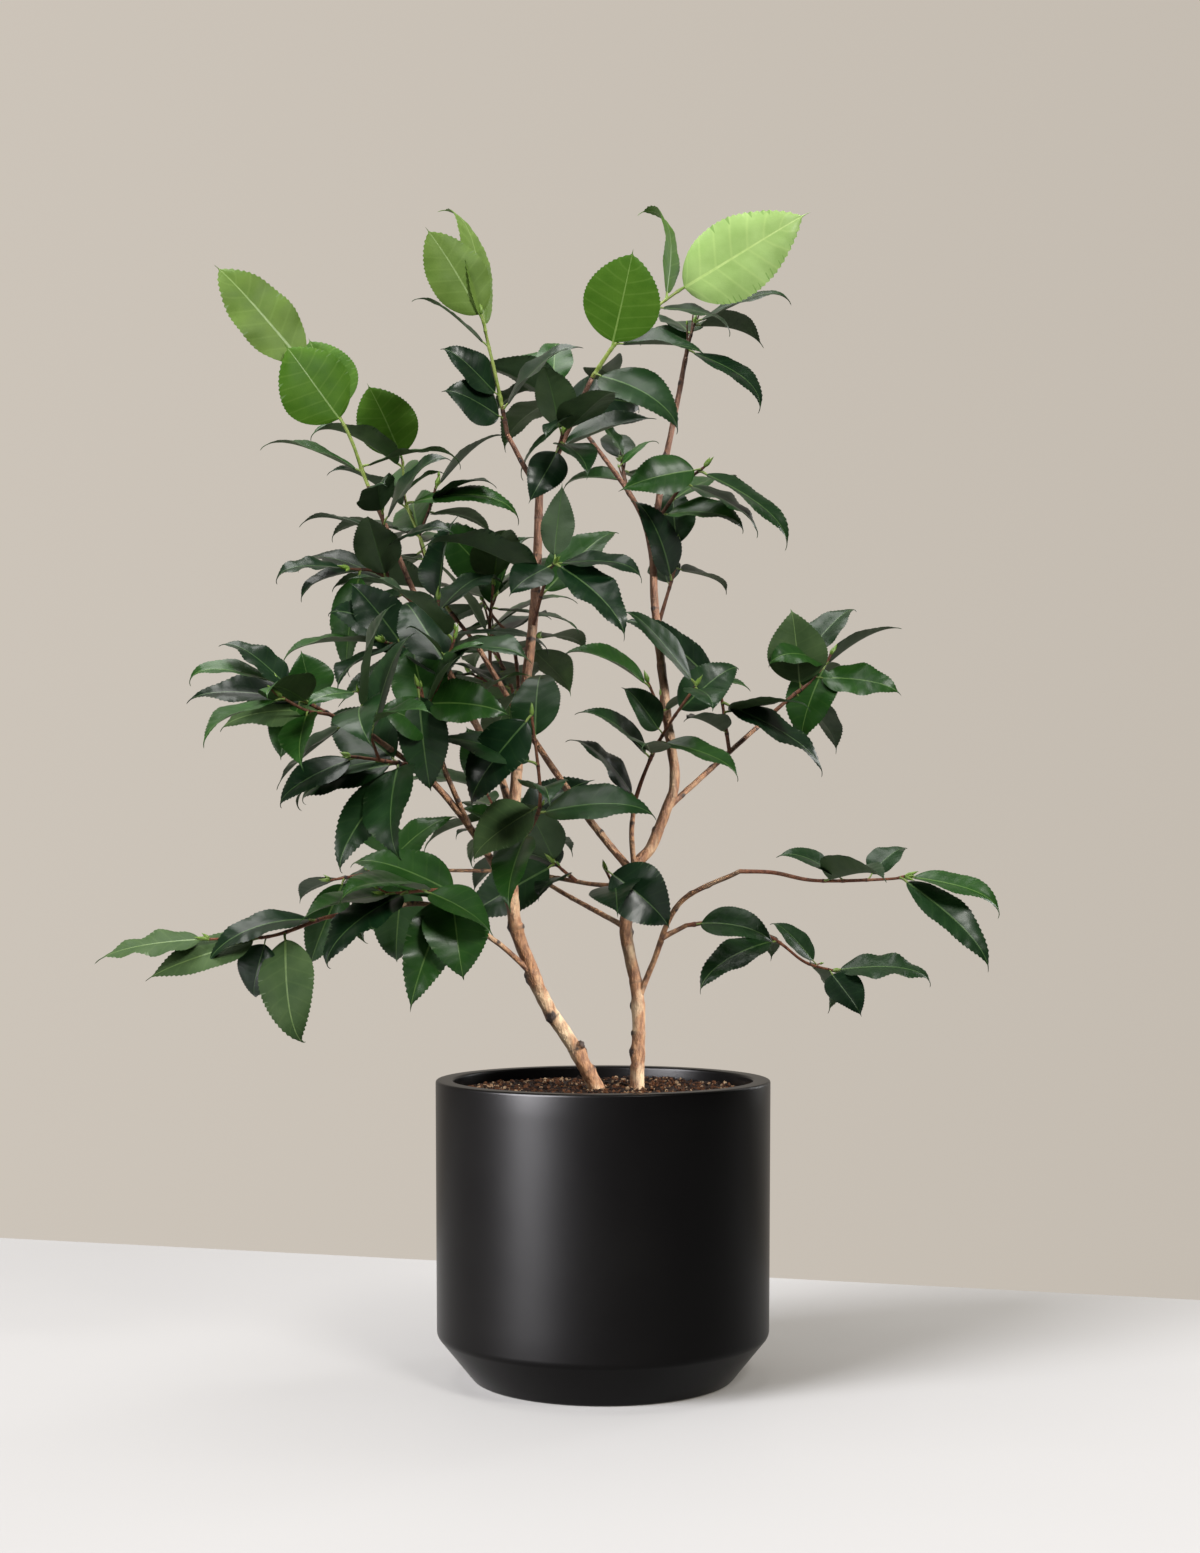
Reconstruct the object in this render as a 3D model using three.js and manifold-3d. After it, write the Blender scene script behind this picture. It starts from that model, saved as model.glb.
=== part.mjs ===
// A camellia shrub of two slender stems, with its boughs, its foliage and its round black pot.
//
// Millimetres, +Z up. The origin is the middle of the pot's flat underside, +X is the shrub's right
// and -Y its front. The stems and boughs are tapering limbs, and each foliage is one solid: a shoot
// with its side twigs, its leaves and any young leaves, grown by a seeded rule and fused.

import * as THREE from "three";
import Module from "manifold-3d";

const wasm = await Module();
wasm.setup();

// ---------------------------------------------------------------- driving dimensions

const pot = {
  height: 225.5,
  lipRadius: 127,
  waistRadius: 126, // where the slanting foot begins
  waistHeight: 34,
  footRadius: 98.5,
  footRounding: 2.5,
  wall: 13.3,
  floor: 14,
  lipRounding: 3.2,
  sides: 44,
};
const soil = { top: 216.5, clearance: 0.35 };
const gap = 0.35; // between limbs, and between a foliage's shoot and its limb

// A limb's curve runs through these points, and starts on its parent at a share of its length.
// Leaves keep clear of its room, or of its first radius where no room is given.
const limbs = {
  left_stem: {
    radii: [5.7, 3], room: 7.2, flare: 1.1, sides: 8,
    through: [[-2, 15, 217], [-24, 8, 252], [-41, 2, 278], [-54, -5, 308], [-68, -15, 358],
      [-65, -12, 460], [-52, -5, 585], [-48, -5, 677]],
  },
  right_stem: {
    radii: [5.3, 1.9], room: 6.2, flare: 1.08, sides: 8,
    through: [[26, 15, 217], [27, 20, 284], [17.5, 25, 339], [24, 29, 384], [37, 33, 402],
      [49, 38, 431], [56, 42, 457], [49, 48, 517], [40, 52, 640], [65, 55, 788]],
  },
  low_left: {
    on: "left_stem", at: 0.215, radii: [2.1, 1.7], room: 2.6,
    through: [[-81, -25, 331], [-125, -50, 358], [-176, -75, 353]],
  },
  mid_left: {
    on: "left_stem", at: 0.307, radii: [3.2, 1.9], room: 3.8,
    through: [[-81, -30, 387], [-121, -60, 444], [-170, -80, 483]],
  },
  upright_left: {
    on: "mid_left", at: 0.45, radii: [2.2, 1.7], through: [[-114, -65, 453], [-120, -75, 473]],
  },
  high_left: {
    on: "left_stem", at: 0.46, radii: [3, 1.9], room: 3.4,
    through: [[-82, 10, 465], [-123, 35, 546], [-170, 40, 654]],
  },
  centre_left: {
    on: "left_stem", at: 0.985, radii: [2.2, 1.7], through: [[-60, -10, 690], [-72, -15, 712]],
  },
  centre_right: { on: "left_stem", at: 0.985, radii: [2.5, 1.8], through: [[-9, -6, 756]] },
  crossing: {
    on: "right_stem", at: 0.285, radii: [3.1, 2], room: 3.6,
    through: [[-12, 45, 426], [-57, 75, 492], [-102, 95, 567]],
  },
  low_crossing: {
    on: "right_stem", at: 0.275, radii: [1.9, 1.4],
    through: [[-2, 45, 373], [-66, 75, 383], [-132, 90, 385]],
  },
  low_back: {
    on: "right_stem", at: 0.213, radii: [2.2, 1.6], through: [[-34, 90, 368], [-64, 120, 387]],
  },
  middle: {
    on: "right_stem", at: 0.29, radii: [2.2, 1.8], through: [[22, 16, 412], [24, 10, 436]],
  },
  mid_right: { on: "right_stem", at: 0.385, radii: [2.4, 1.7], through: [[134, 85, 509]] },
  low_right: {
    on: "right_stem", at: 0.116, radii: [2.4, 1.7], room: 2.8,
    through: [[38, 15, 312], [58, -5, 359], [102, -25, 383]],
  },
  lowest_right: {
    on: "low_right", at: 0.38, radii: [2, 1.7], through: [[64, 15, 342]],
  },
  upper_middle: {
    on: "right_stem", at: 0.72, radii: [2.3, 1.6], through: [[27, 65, 673], [-18, 85, 741]],
  },
};

// A foliage's shoot leaves its limb's tip, or the limb at a share of its length. Posed leaves are
// set by hand: where on the shoot, where they point, which way they face, and their age.
const shoots = {
  low_left_tip: {
    on: "low_left", through: [[-200, -85, 349], [-238, -95, 336], [-280, -105, 334]], leaves: 1,
    twigs: 0, leaf: 84, droop: 0.3, seed: 4, fallen: [0],
    posed: [
      {
        at: 1, aim: [-90, -19, -3], face: [-0.1, -0.6, 0.8],
        length: 78, width: 30, bend: [16, 20], age: "mid",
      },
      {
        at: 0.67, aim: [-90, -31, -27], face: [0.15, -0.75, 0.65],
        length: 83, width: 30, bend: [14, 24], age: "mid",
      },
      {
        at: 0.29, aim: [-90, -51, 7], face: [0.1, -0.45, 0.9],
        length: 89, width: 28, bend: [52, 30], age: "old",
      },
      {
        at: 0.51, aim: [5, -43, -90], face: [-0.35, -1, 0.1],
        length: 84, width: 42, bend: [10, 60], age: "mid",
      },
      {
        at: 0.63, aim: [-30, 2, -90], face: [-0.2, -1, 0.3],
        length: 44, width: 32, bend: [10, 40], age: "old",
      },
    ],
  },
  low_left_inner: {
    on: "low_left", at: 0.45, through: [[-110, -62, 368], [-158, -82, 366]], leaves: 3, twigs: 0,
    leaf: 82, droop: 0.9, seed: 15,
    posed: [
      {
        at: 0.8, aim: [-90, -85, -44], face: [-0.3, -0.7, 0.6],
        length: 89, width: 38, bend: [30, 60], age: "old",
      },
      {
        at: 0.4, aim: [-40, -42, -90], face: [-0.1, -1, 0.2],
        length: 91, width: 36, bend: [20, 30], age: "old",
      },
      {
        at: 0.41, aim: [12, -53, -90], face: [0, -1, 0.25],
        length: 66, width: 48, bend: [16, 44], age: "old",
      },
      {
        at: 0.66, aim: [87, -48, -31], face: [0, -0.6, 0.8],
        length: 60, width: 36, bend: [25, 35], age: "old",
      },
    ],
  },
  low_crossing_tip: {
    on: "low_crossing", through: [[-176, 95, 384], [-220, 100, 377]], leaves: 6, twigs: 0,
    leaf: 66, droop: 0.3, seed: 31, fallen: [3, 5],
    posed: [
      {
        at: 0.32, aim: [-13, 6, -97], face: [0, -1, 0.3],
        length: 80, width: 43, bend: [25, 37], age: "old",
      },
      {
        at: 0.86, aim: [-39, -22, -89], face: [0.2, -0.8, 0.5],
        length: 78, width: 31, bend: [30, 47], age: "old",
      },
      {
        at: 0.53, aim: [56, -32, 62], face: [0, -0.75, 0.65],
        length: 76, width: 34, bend: [27, 44], age: "old",
      },
    ],
  },
  low_crossing_inner: {
    on: "low_crossing", at: 0.3, through: [[-38, 50, 390]], leaves: 3, twigs: 0, leaf: 58,
    droop: 0.5, seed: 30,
    posed: [
      {
        at: 0.95, aim: [-82, 3, -44], face: [0.3, -0.9, 0.2],
        length: 83, width: 39, bend: [20, 31], age: "old",
      },
    ],
  },
  mid_left_tip: {
    on: "mid_left", through: [[-202, -90, 498], [-233, -100, 517]], leaves: 5, twigs: 1, leaf: 74,
    droop: 0.4, seed: 28, fallen: [5, 6],
    posed: [
      {
        at: 0.45, aim: [-90, -49, 6], face: [0.1, -0.75, 0.65],
        length: 76, width: 36, bend: [30, 26], age: "mid",
      },
      {
        at: 0.62, aim: [-90, -8, 22], face: [0, -0.6, 0.8],
        length: 88, width: 32, bend: [22, 20], age: "old",
      },
      {
        at: 1, aim: [-90, -16, 28], face: [0, -0.35, 0.95],
        length: 64, width: 24, bend: [16, 70], age: "old",
      },
      {
        at: 0.71, aim: [-32, -59, -90], face: [-0.1, -0.9, 0.4],
        length: 46, width: 32, bend: [20, 40], age: "old",
      },
      {
        at: 0.55, aim: [-25, -33, 90], face: [0.1, -1, 0.25],
        length: 37, width: 36, bend: [8, 16], age: "old",
      },
    ],
  },
  mid_left_inner: {
    on: "mid_left", at: 0.78, through: [[-160, -92, 462], [-180, -105, 464]], leaves: 4, twigs: 1,
    leaf: 80, droop: 0.7, seed: 24, fallen: [2, 3],
    posed: [
      {
        at: 0.15, aim: [-71, -60, -90], face: [-0.3, -0.8, 0.5],
        length: 95, width: 34, bend: [18, 40], age: "old",
      },
      {
        at: 0.9, aim: [-90, -40, -36], face: [-0.1, -0.65, 0.75],
        length: 65, width: 32, bend: [20, 34], age: "old",
      },
      {
        at: 0.26, aim: [-65, 38, 54], face: [-0.2, -0.8, 0.5],
        length: 79, width: 42, bend: [11, 27], age: "old",
      },
      {
        at: 0.28, aim: [-90, 1, -16], face: [0.2, -0.8, 0.5],
        length: 83, width: 29, bend: [20, 50], age: "old",
      },
    ],
  },
  upright_left_tip: {
    on: "upright_left", through: [[-126, -82, 495], [-133, -90, 515]], leaves: 5, twigs: 1,
    leaf: 80, droop: 0.3, seed: 7,
    posed: [
      {
        at: 0.2, aim: [-89, -90, 65], face: [-0.1, -0.85, 0.5],
        length: 45, width: 34, bend: [22, 34], age: "old",
      },
      {
        at: 0.97, aim: [7, -6, -98], face: [0, -0.75, 0.65],
        length: 74, width: 36, bend: [18, 34], age: "old",
      },
      {
        at: 0.7, aim: [89, -72, 2], face: [0, -1, 0.3],
        length: 69, width: 33, bend: [27, 38], age: "old",
      },
    ],
  },
  high_left_low: {
    on: "high_left", at: 0.42, through: [[-135, 10, 548], [-165, -15, 556]], leaves: 6, twigs: 1,
    leaf: 82, droop: 0.4, seed: 17,
    posed: [
      {
        at: 0.55, aim: [-90, -61, 61], face: [-0.1, -0.8, 0.6],
        length: 84, width: 40, bend: [20, 50], age: "old",
      },
      {
        at: 0.8, aim: [-62, -37, 90], face: [0, -1, 0.3],
        length: 59, width: 36, bend: [14, 20], age: "old",
      },
    ],
  },
  high_left_side: {
    on: "high_left", at: 0.72, through: [[-172, 25, 613], [-194, 5, 614]], leaves: 4, twigs: 1,
    leaf: 72, droop: 0.4, seed: 19, fallen: [2, 3],
    posed: [
      {
        at: 1, aim: [-90, -28, 9], face: [0, -0.4, 0.95],
        length: 57, width: 26, bend: [18, 66], age: "old",
      },
      {
        at: 0.8, aim: [-90, -38, -19], face: [-0.1, -0.35, 0.95],
        length: 54, width: 24, bend: [20, 60], age: "old",
      },
      {
        at: 0.84, aim: [-22, -2, -95], face: [0, -0.35, 1],
        length: 81, width: 39, bend: [23, 21], age: "old",
      },
      {
        at: 0.46, aim: [-75, 27, 41], face: [0, -0.35, 1],
        length: 87, width: 28, bend: [14, 55], age: "old",
      },
    ],
  },
  high_left_tip: {
    on: "high_left", through: [[-185, 40, 689], [-197, 36, 722], [-214, 34, 752], [-230, 34, 775]],
    leaves: 1, twigs: 0, leaf: 76, droop: 0.3, span: [0.05, 0.4], seed: 13, fallen: [0],
    posed: [
      {
        at: 1, aim: [-76, -25, 90], face: [0.15, -1, 0.3],
        length: 101, width: 46, bend: [10, 18], age: "young",
      },
      {
        at: 0.61, aim: [-68, -35, 90], face: [0.2, -1, 0.25],
        length: 70, width: 60, bend: [8, 10], age: "young",
      },
      {
        at: 0.67, aim: [-31, 17, 90], face: [-0.1, -1, 0.35],
        length: 68, width: 50, bend: [8, 10], age: "young",
      },
      {
        at: 0.32, aim: [-90, -25, 43], face: [0.1, -0.35, 0.95],
        length: 80, width: 28, bend: [10, 50], age: "old",
      },
      {
        at: 0.35, aim: [90, -21, 31], face: [-0.1, -0.3, 0.95],
        length: 83, width: 28, bend: [20, 60], age: "old",
      },
    ],
  },
  crossing_tip: {
    on: "crossing",
    through: [[-134, 100, 610], [-146, 105, 649], [-160, 105, 685], [-162, 105, 716]], leaves: 7,
    twigs: 2, leaf: 78, droop: 0.35, seed: 9, fallen: [13],
    posed: [
      { at: 1, aim: [-34, -20, 90], face: [-0.1, -1, 0.25], length: 63, width: 48, age: "young" },
      {
        at: 0.79, aim: [90, -41, 19], face: [0.1, -0.55, 0.85],
        length: 104, width: 30, bend: [30, 50], age: "old",
      },
    ],
  },
  crossing_side: {
    on: "crossing", at: 0.9, through: [[-92, 112, 590], [-88, 122, 618]], leaves: 6, twigs: 1,
    leaf: 76, droop: 0.35, seed: 14,
    posed: [
      {
        at: 1, aim: [-54, -60, 64], face: [-0.2, -0.8, 0.5],
        length: 73, width: 42, bend: [13, 22], age: "old",
      },
    ],
  },
  centre_left_tip: {
    on: "centre_left", through: [[-80, -20, 752], [-86, -22, 778], [-91, -25, 800]], leaves: 3,
    twigs: 0, leaf: 74, droop: 0.35, span: [0.05, 0.75], seed: 19, fallen: [1, 2],
    posed: [
      {
        at: 0.94, aim: [-48, -20, 90], face: [0.1, -1, 0.2],
        length: 75, width: 44, bend: [6, 6], age: "young",
      },
      {
        at: 0.86, aim: [-9, 16, 90], face: [0.75, -0.35, 0.5],
        length: 118, width: 38, bend: [6, 75], age: "young",
      },
      {
        at: 0.72, aim: [-90, -19, 85], face: [-0.1, -0.3, 0.95],
        length: 65, width: 26, bend: [8, 46], age: "old",
      },
      {
        at: 0.3, aim: [-90, -59, 88], face: [0.2, -0.75, 0.65],
        length: 54, width: 32, bend: [10, 34], age: "old",
      },
      {
        at: 0.12, aim: [-90, -78, 50], face: [0.1, -0.85, 0.5],
        length: 51, width: 38, bend: [14, 30], age: "old",
      },
    ],
  },
  centre_right_tip: {
    on: "centre_right", through: [[11, -6, 785], [36, 4, 810], [57, 10, 827]], leaves: 3, twigs: 0,
    leaf: 72, droop: 0.35, span: [0.05, 0.35], seed: 2, fallen: [1],
    posed: [
      {
        at: 0.27, aim: [23, -20, 90], face: [0.05, -1, 0.15],
        length: 70, width: 58, bend: [4, 8], age: "young",
      },
      {
        at: 1, aim: [90, -19, 49], face: [-0.1, -1, 0.1],
        length: 111, width: 62, bend: [4, 10], age: "young",
      },
      {
        at: 0.88, aim: [14, 15, 90], face: [0.75, -0.2, 0.6],
        length: 88, width: 32, bend: [10, 130], age: "young",
      },
      {
        at: 0.77, aim: [90, 5, 1], face: [-0.2, -0.5, 0.85],
        length: 63, width: 28, bend: [20, 60], age: "old",
      },
      {
        at: 0.04, aim: [90, -64, -34], face: [-0.05, -0.75, 0.7],
        length: 87, width: 44, bend: [30, 44], age: "old",
      },
    ],
  },
  centre_right_side: {
    on: "centre_right", at: 0.35, through: [[-30, -25, 712]], leaves: 4, twigs: 0, leaf: 74,
    droop: 0.35, seed: 5,
    posed: [
      {
        at: 0.31, aim: [-37, -61, -90], face: [0.2, -0.8, 0.5],
        length: 51, width: 29, bend: [9, 57], age: "old",
      },
    ],
  },
  upper_middle_tip: {
    on: "upper_middle", through: [[-28, 88, 754], [-47, 95, 780]], leaves: 7, twigs: 0, leaf: 72,
    droop: 0.35, seed: 1,
    posed: [
      {
        at: 0.53, aim: [88, 13, 11], face: [0.2, -0.8, 0.5],
        length: 71, width: 42, bend: [21, 48], age: "old",
      },
    ],
  },
  upper_middle_side: {
    on: "upper_middle", at: 0.5, through: [[15, 95, 715]], leaves: 3, twigs: 0, leaf: 66,
    droop: 0.4, seed: 39,
  },
  right_lead_tip: {
    on: "right_stem", through: [[68, 54, 801], [72, 55, 815]], leaves: 3, twigs: 0, leaf: 68,
    droop: 0.35, seed: 20,
    posed: [
      {
        at: 1, aim: [90, -19, 37], face: [-0.1, -0.4, 0.9],
        length: 78, width: 28, bend: [-4, 90], age: "old",
      },
      {
        at: 0.2, aim: [90, -38, -44], face: [-0.1, -0.35, 0.95],
        length: 81, width: 28, bend: [10, 80], age: "old",
      },
    ],
  },
  right_lead_mid: {
    on: "right_stem", at: 0.775, through: [[62, 30, 683], [78, 15, 694]], leaves: 3, twigs: 0,
    leaf: 78, droop: 0.35, seed: 14, fallen: [2],
    posed: [
      {
        at: 0.1, aim: [90, -54, 6], face: [0, -0.6, 0.8],
        length: 71, width: 36, bend: [26, 60], age: "old",
      },
      {
        at: 0.9, aim: [90, -13, -42], face: [0, -0.45, 0.9],
        length: 92, width: 28, bend: [20, 50], age: "old",
      },
      {
        at: 0.94, aim: [-90, -35, -17], face: [0, -1, 0.3],
        length: 63, width: 34, bend: [20, 22], age: "old",
      },
    ],
  },
  right_lead_side: {
    on: "right_stem", at: 0.63, through: [[56, 60, 620], [60, 62, 640]], leaves: 4, twigs: 0,
    leaf: 58, droop: 0.5, seed: 20, fallen: [0],
    posed: [
      {
        at: 0.59, aim: [-18, -72, 80], face: [0.3, -0.9, 0.2],
        length: 75, width: 29, bend: [30, 56], age: "old",
      },
    ],
  },
  right_stem_leaf: {
    on: "right_stem", at: 0.49, through: [[35, 30, 530]], leaves: 2, twigs: 0, leaf: 72,
    droop: 0.3, seed: 6,
    posed: [
      {
        at: 0.9, aim: [-90, -59, 68], face: [-0.1, -0.6, 0.8],
        length: 79, width: 34, bend: [24, 40], age: "old",
      },
    ],
  },
  centre_front: {
    on: "left_stem", at: 0.77, through: [[-42, -30, 603], [-36, -48, 610]], leaves: 1, twigs: 0,
    leaf: 86, droop: 0.45, seed: 4,
    posed: [
      {
        at: 1, aim: [6, 2, 90], face: [0.3, 0.85, 0.1],
        length: 54, width: 25, bend: [4, 8], age: "old",
      },
      {
        at: 0.98, aim: [90, -22, 7], face: [0, -0.4, 0.95],
        length: 68, width: 28, bend: [14, 66], age: "old",
      },
      {
        at: 1, aim: [90, -65, -61], face: [0.3, -0.8, 0.6],
        length: 84, width: 36, bend: [22, 30], age: "old",
      },
      {
        at: 0.96, aim: [-90, -88, -56], face: [-0.3, -0.8, 0.5],
        length: 43, width: 32, bend: [16, 34], age: "old",
      },
      {
        at: 0.42, aim: [56, -2, 63], face: [0, -0.75, 0.65],
        length: 81, width: 39, bend: [23, 44], age: "old",
      },
    ],
  },
  middle_tip: {
    on: "middle", through: [[30, 2, 454], [40, -10, 477], [52, -22, 497], [69, -34, 521]],
    leaves: 2, twigs: 0, leaf: 68, droop: 0.2, seed: 27, fallen: [1],
    posed: [
      {
        at: 0.02, aim: [-53, -45, 90], face: [-0.15, -0.55, 0.85],
        length: 71, width: 32, bend: [30, 30], age: "old",
      },
      {
        at: 0.35, aim: [-73, -53, 90], face: [-0.15, -0.55, 0.85],
        length: 68, width: 32, bend: [30, 40], age: "old",
      },
      {
        at: 0.56, aim: [-63, -46, 90], face: [-0.3, -0.6, 0.75],
        length: 44, width: 30, bend: [14, 40], age: "old",
      },
      {
        at: 0.5, aim: [90, -47, -18], face: [0.1, -0.6, 0.85],
        length: 69, width: 28, bend: [26, 50], age: "old",
      },
      {
        at: 1, aim: [-71, -50, 90], face: [0.45, -0.5, 0.75],
        length: 78, width: 36, bend: [8, 16], age: "old",
      },
      {
        at: 0.98, aim: [33, -90, -19], face: [0.3, -0.8, 0.5],
        length: 38, width: 32, bend: [20, 60], age: "old",
      },
      {
        at: 0.74, aim: [59, 4, 60], face: [-0.3, -0.9, 0.2],
        length: 63, width: 33, bend: [11, 57], age: "old",
      },
    ],
  },
  mid_right_tip: {
    on: "mid_right", through: [[152, 95, 525], [172, 104, 541], [186, 110, 560]], leaves: 2,
    twigs: 1, leaf: 72, droop: 0.35, seed: 31, fallen: [2],
    posed: [
      {
        at: 0.46, aim: [-8, -18, 90], face: [0.05, -1, 0.15],
        length: 62, width: 48, bend: [6, 10], age: "mid",
      },
      {
        at: 0.68, aim: [90, -44, -2], face: [0, -0.7, 0.7],
        length: 69, width: 34, bend: [24, 30], age: "old",
      },
      {
        at: 0.87, aim: [-86, -90, 40], face: [0.2, -0.6, 0.8],
        length: 58, width: 30, bend: [40, 70], age: "old",
      },
      {
        at: 0.89, aim: [-44, -40, -87], face: [0, -0.6, 0.8],
        length: 70, width: 42, bend: [11, 46], age: "old",
      },
    ],
  },
  mid_right_inner: {
    on: "mid_right", at: 0.6, through: [[92, 45, 525]], leaves: 3, twigs: 0, leaf: 70, droop: 0.35,
    seed: 27, fallen: [2],
    posed: [
      { at: 1, aim: [-67, -20, 70], face: [0.5, -0.7, 0.5], length: 98, width: 34, age: "old" },
      { at: 0.8, aim: [80, -25, -35], face: [0.3, -0.6, 0.75], length: 98, width: 36, age: "old" },
    ],
  },
  low_right_tip: {
    on: "low_right", through: [[127, -32, 382], [158, -40, 376], [208, -55, 377], [221, -60, 379]],
    leaves: 4, twigs: 0, leaf: 78, droop: 0.2, seed: 24, fallen: [0, 2, 3],
    posed: [
      {
        at: 1, aim: [90, -28, -12], face: [0.1, -0.45, 0.9],
        length: 76, width: 26, bend: [14, 62], age: "old",
      },
      {
        at: 0.97, aim: [90, -46, -67], face: [0.4, -0.75, 0.55],
        length: 93, width: 30, bend: [14, 40], age: "old",
      },
      {
        at: 0.77, aim: [74, 13, 90], face: [-0.2, -0.7, 0.7],
        length: 38, width: 26, bend: [28, 30], age: "old",
      },
      {
        at: 0.63, aim: [-90, -29, 68], face: [0.1, -0.45, 0.9],
        length: 51, width: 26, bend: [24, 50], age: "old",
      },
    ],
  },
  lowest_right_tip: {
    on: "lowest_right",
    through: [[91, 30, 344], [123, 45, 336], [140, 55, 327], [160, 65, 312], [183, 75, 305]],
    leaves: 2, twigs: 0, leaf: 70, droop: 0.1, seed: 39,
    posed: [
      {
        at: 0.05, aim: [90, -51, 10], face: [0.05, -0.75, 0.65],
        length: 65, width: 32, bend: [46, 30], age: "old",
      },
      {
        at: 0.59, aim: [-90, -56, -20], face: [-0.1, -0.6, 0.8],
        length: 80, width: 28, bend: [28, 62], age: "old",
      },
      {
        at: 1, aim: [90, -32, 14], face: [0.1, -0.6, 0.8],
        length: 82, width: 32, bend: [22, 66], age: "old",
      },
      {
        at: 0.97, aim: [64, -78, -90], face: [0.1, -1, 0.3],
        length: 44, width: 30, bend: [14, 30], age: "old",
      },
      {
        at: 0.9, aim: [-68, 14, 90], face: [0.4, -0.6, 0.75],
        length: 48, width: 24, bend: [10, 30], age: "old",
      },
    ],
  },
  front_leaf: {
    on: "right_stem", at: 0.235, through: [[2, -16, 384]], leaves: 1, twigs: 0, leaf: 70,
    droop: 0.3, seed: 16,
    posed: [
      { at: 1, aim: [51, -14, -34], face: [0.1, -1, 0.35], length: 62, width: 44, age: "old" },
    ],
  },
  low_back_tip: {
    on: "low_back", through: [[-70, 150, 405], [-75, 180, 425]], leaves: 7, twigs: 1, leaf: 72,
    droop: 0.35, seed: 41,
    posed: [
      {
        at: 0.93, aim: [66, -54, 53], face: [-0.3, -0.9, 0.2],
        length: 80, width: 37, bend: [21, 41], age: "old",
      },
    ],
  },
  left_stem_front: {
    on: "left_stem", at: 0.42, through: [[-52, -40, 418], [-46, -62, 440], [-52, -68, 496]],
    leaves: 6, twigs: 0, leaf: 82, droop: 0.6, seed: 2, fallen: [5],
    posed: [
      {
        at: 0.45, aim: [-50, -12, -28], face: [-0.2, -0.9, 0.5],
        length: 62, width: 44, age: "mid",
      },
      { at: 1, aim: [-47, -12, -52], face: [-0.3, -0.9, 0.45], length: 80, width: 46, age: "old" },
    ],
  },
  left_stem_back: {
    on: "left_stem", at: 0.62, through: [[-70, 50, 560], [-88, 110, 590], [-100, 150, 610]],
    leaves: 8, twigs: 2, leaf: 76, droop: 0.4, seed: 5, fallen: [4, 6],
  },
  crossing_back: {
    on: "crossing", at: 0.7, through: [[-78, 130, 545], [-95, 180, 575]], leaves: 8, twigs: 2,
    leaf: 76, droop: 0.4, seed: 28,
  },
};

// The growth rule's sizes. Angles are in degrees and lengths in millimetres.
const rule = {
  goldenTurn: 137.5,
  shootRadii: [1.7, 1.0],
  twigRadii: [1.3, 0.9],
  twigLength: [38, 58],
  leavesPerTwig: 4,
  insertion: [72, 27], // from the shoot's foot to its tip
  outwardPull: 0.35,
  lengthShare: [0.78, 1.15],
  widthShare: [0.48, 0.58],
  petiole: [5, 8],
  arch: [2, 34],
  curl: [15, 60],
  fold: [8, 20],
  shape: [0.7, 1.2], // powers of the leaf outline towards its foot and its tip
  posedBend: { arch: 20, curl: 35, fold: 12, shape: [0.7, 1.1] },
  youngBend: { arch: 8, curl: 8, fold: 6, shape: [0.62, 0.8] },
  leafSpace: 3.6, // kept round a leaf's sample points
  mateSpace: 2.2, // kept to leaves of the same shoot
  limbSpace: 4.0,
  tries: 5,
};
// The solid leaf: the shares of its length where it has a cross-section, how much broader it is
// there than the true outline between them, how thick it is at the midrib, and the half widths of
// its stalk in the middle of its twig and at the blade.
const solidLeaf = { stations: [0.2, 0.6], broader: 1.1, thickness: 1.4, stalk: [0.5, 1.0] };

const finishes = {
  bark: { color: 0xa37a58, roughness: 0.85, metalness: 0 },
  leaf: { color: 0x1f4a2c, roughness: 0.38, metalness: 0 },
  youngLeaf: { color: 0x4f8a35, roughness: 0.45, metalness: 0 },
  glaze: { color: 0x111113, roughness: 0.42, metalness: 0 },
  soil: { color: 0x33241c, roughness: 0.95, metalness: 0 },
};

// ---------------------------------------------------------------- small helpers

const up = new THREE.Vector3(0, 0, 1);
const axis = new THREE.Vector3(0, 20, 0); // the crown's upright middle line
const light = new THREE.Vector3(-0.3, -0.75, 0.6).normalize(); // the side that leaves turn to
const radians = THREE.MathUtils.degToRad;
const vector = (values) => new THREE.Vector3(...values);
const mix = (from, to, share) => from + (to - from) * share;

// Repeatable random numbers: the same seed always grows the same shoot.
function makeRandom(seed) {
  let state = (seed * 7919) >>> 0;
  return (low = 0, high = 1) => {
    state = (state + 0x6d2b79f5) >>> 0;
    let t = Math.imul(state ^ (state >>> 15), state | 1) >>> 0;
    t = (t ^ (t + Math.imul(t ^ (t >>> 7), t | 61))) >>> 0;
    return low + (high - low) * ((t ^ (t >>> 14)) >>> 0) / 4294967296;
  };
}

// Points of a smooth curve through the given ones, a fixed number to each span.
function curveThrough(points, perSpan) {
  const curve = new THREE.CatmullRomCurve3(points, false, "catmullrom", 0.5);
  return curve.getPoints(perSpan * (points.length - 1));
}

// The point and direction at a share of a polyline's length, and that length.
function alongCurve(points, share) {
  const ends = [];
  let total = 0;
  for (let i = 1; i < points.length; i += 1) {
    total += points[i].distanceTo(points[i - 1]);
    ends.push(total);
  }
  const want = Math.min(Math.max(share, 0), 1) * total;
  let i = ends.findIndex((end) => end >= want);
  if (i < 0) i = ends.length - 1;
  const step = points[i + 1].clone().sub(points[i]);
  const length = step.length();
  const start = ends[i] - length;
  const point = points[i].clone().addScaledVector(step, (want - start) / length);
  return { point, direction: step.normalize(), total };
}

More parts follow.
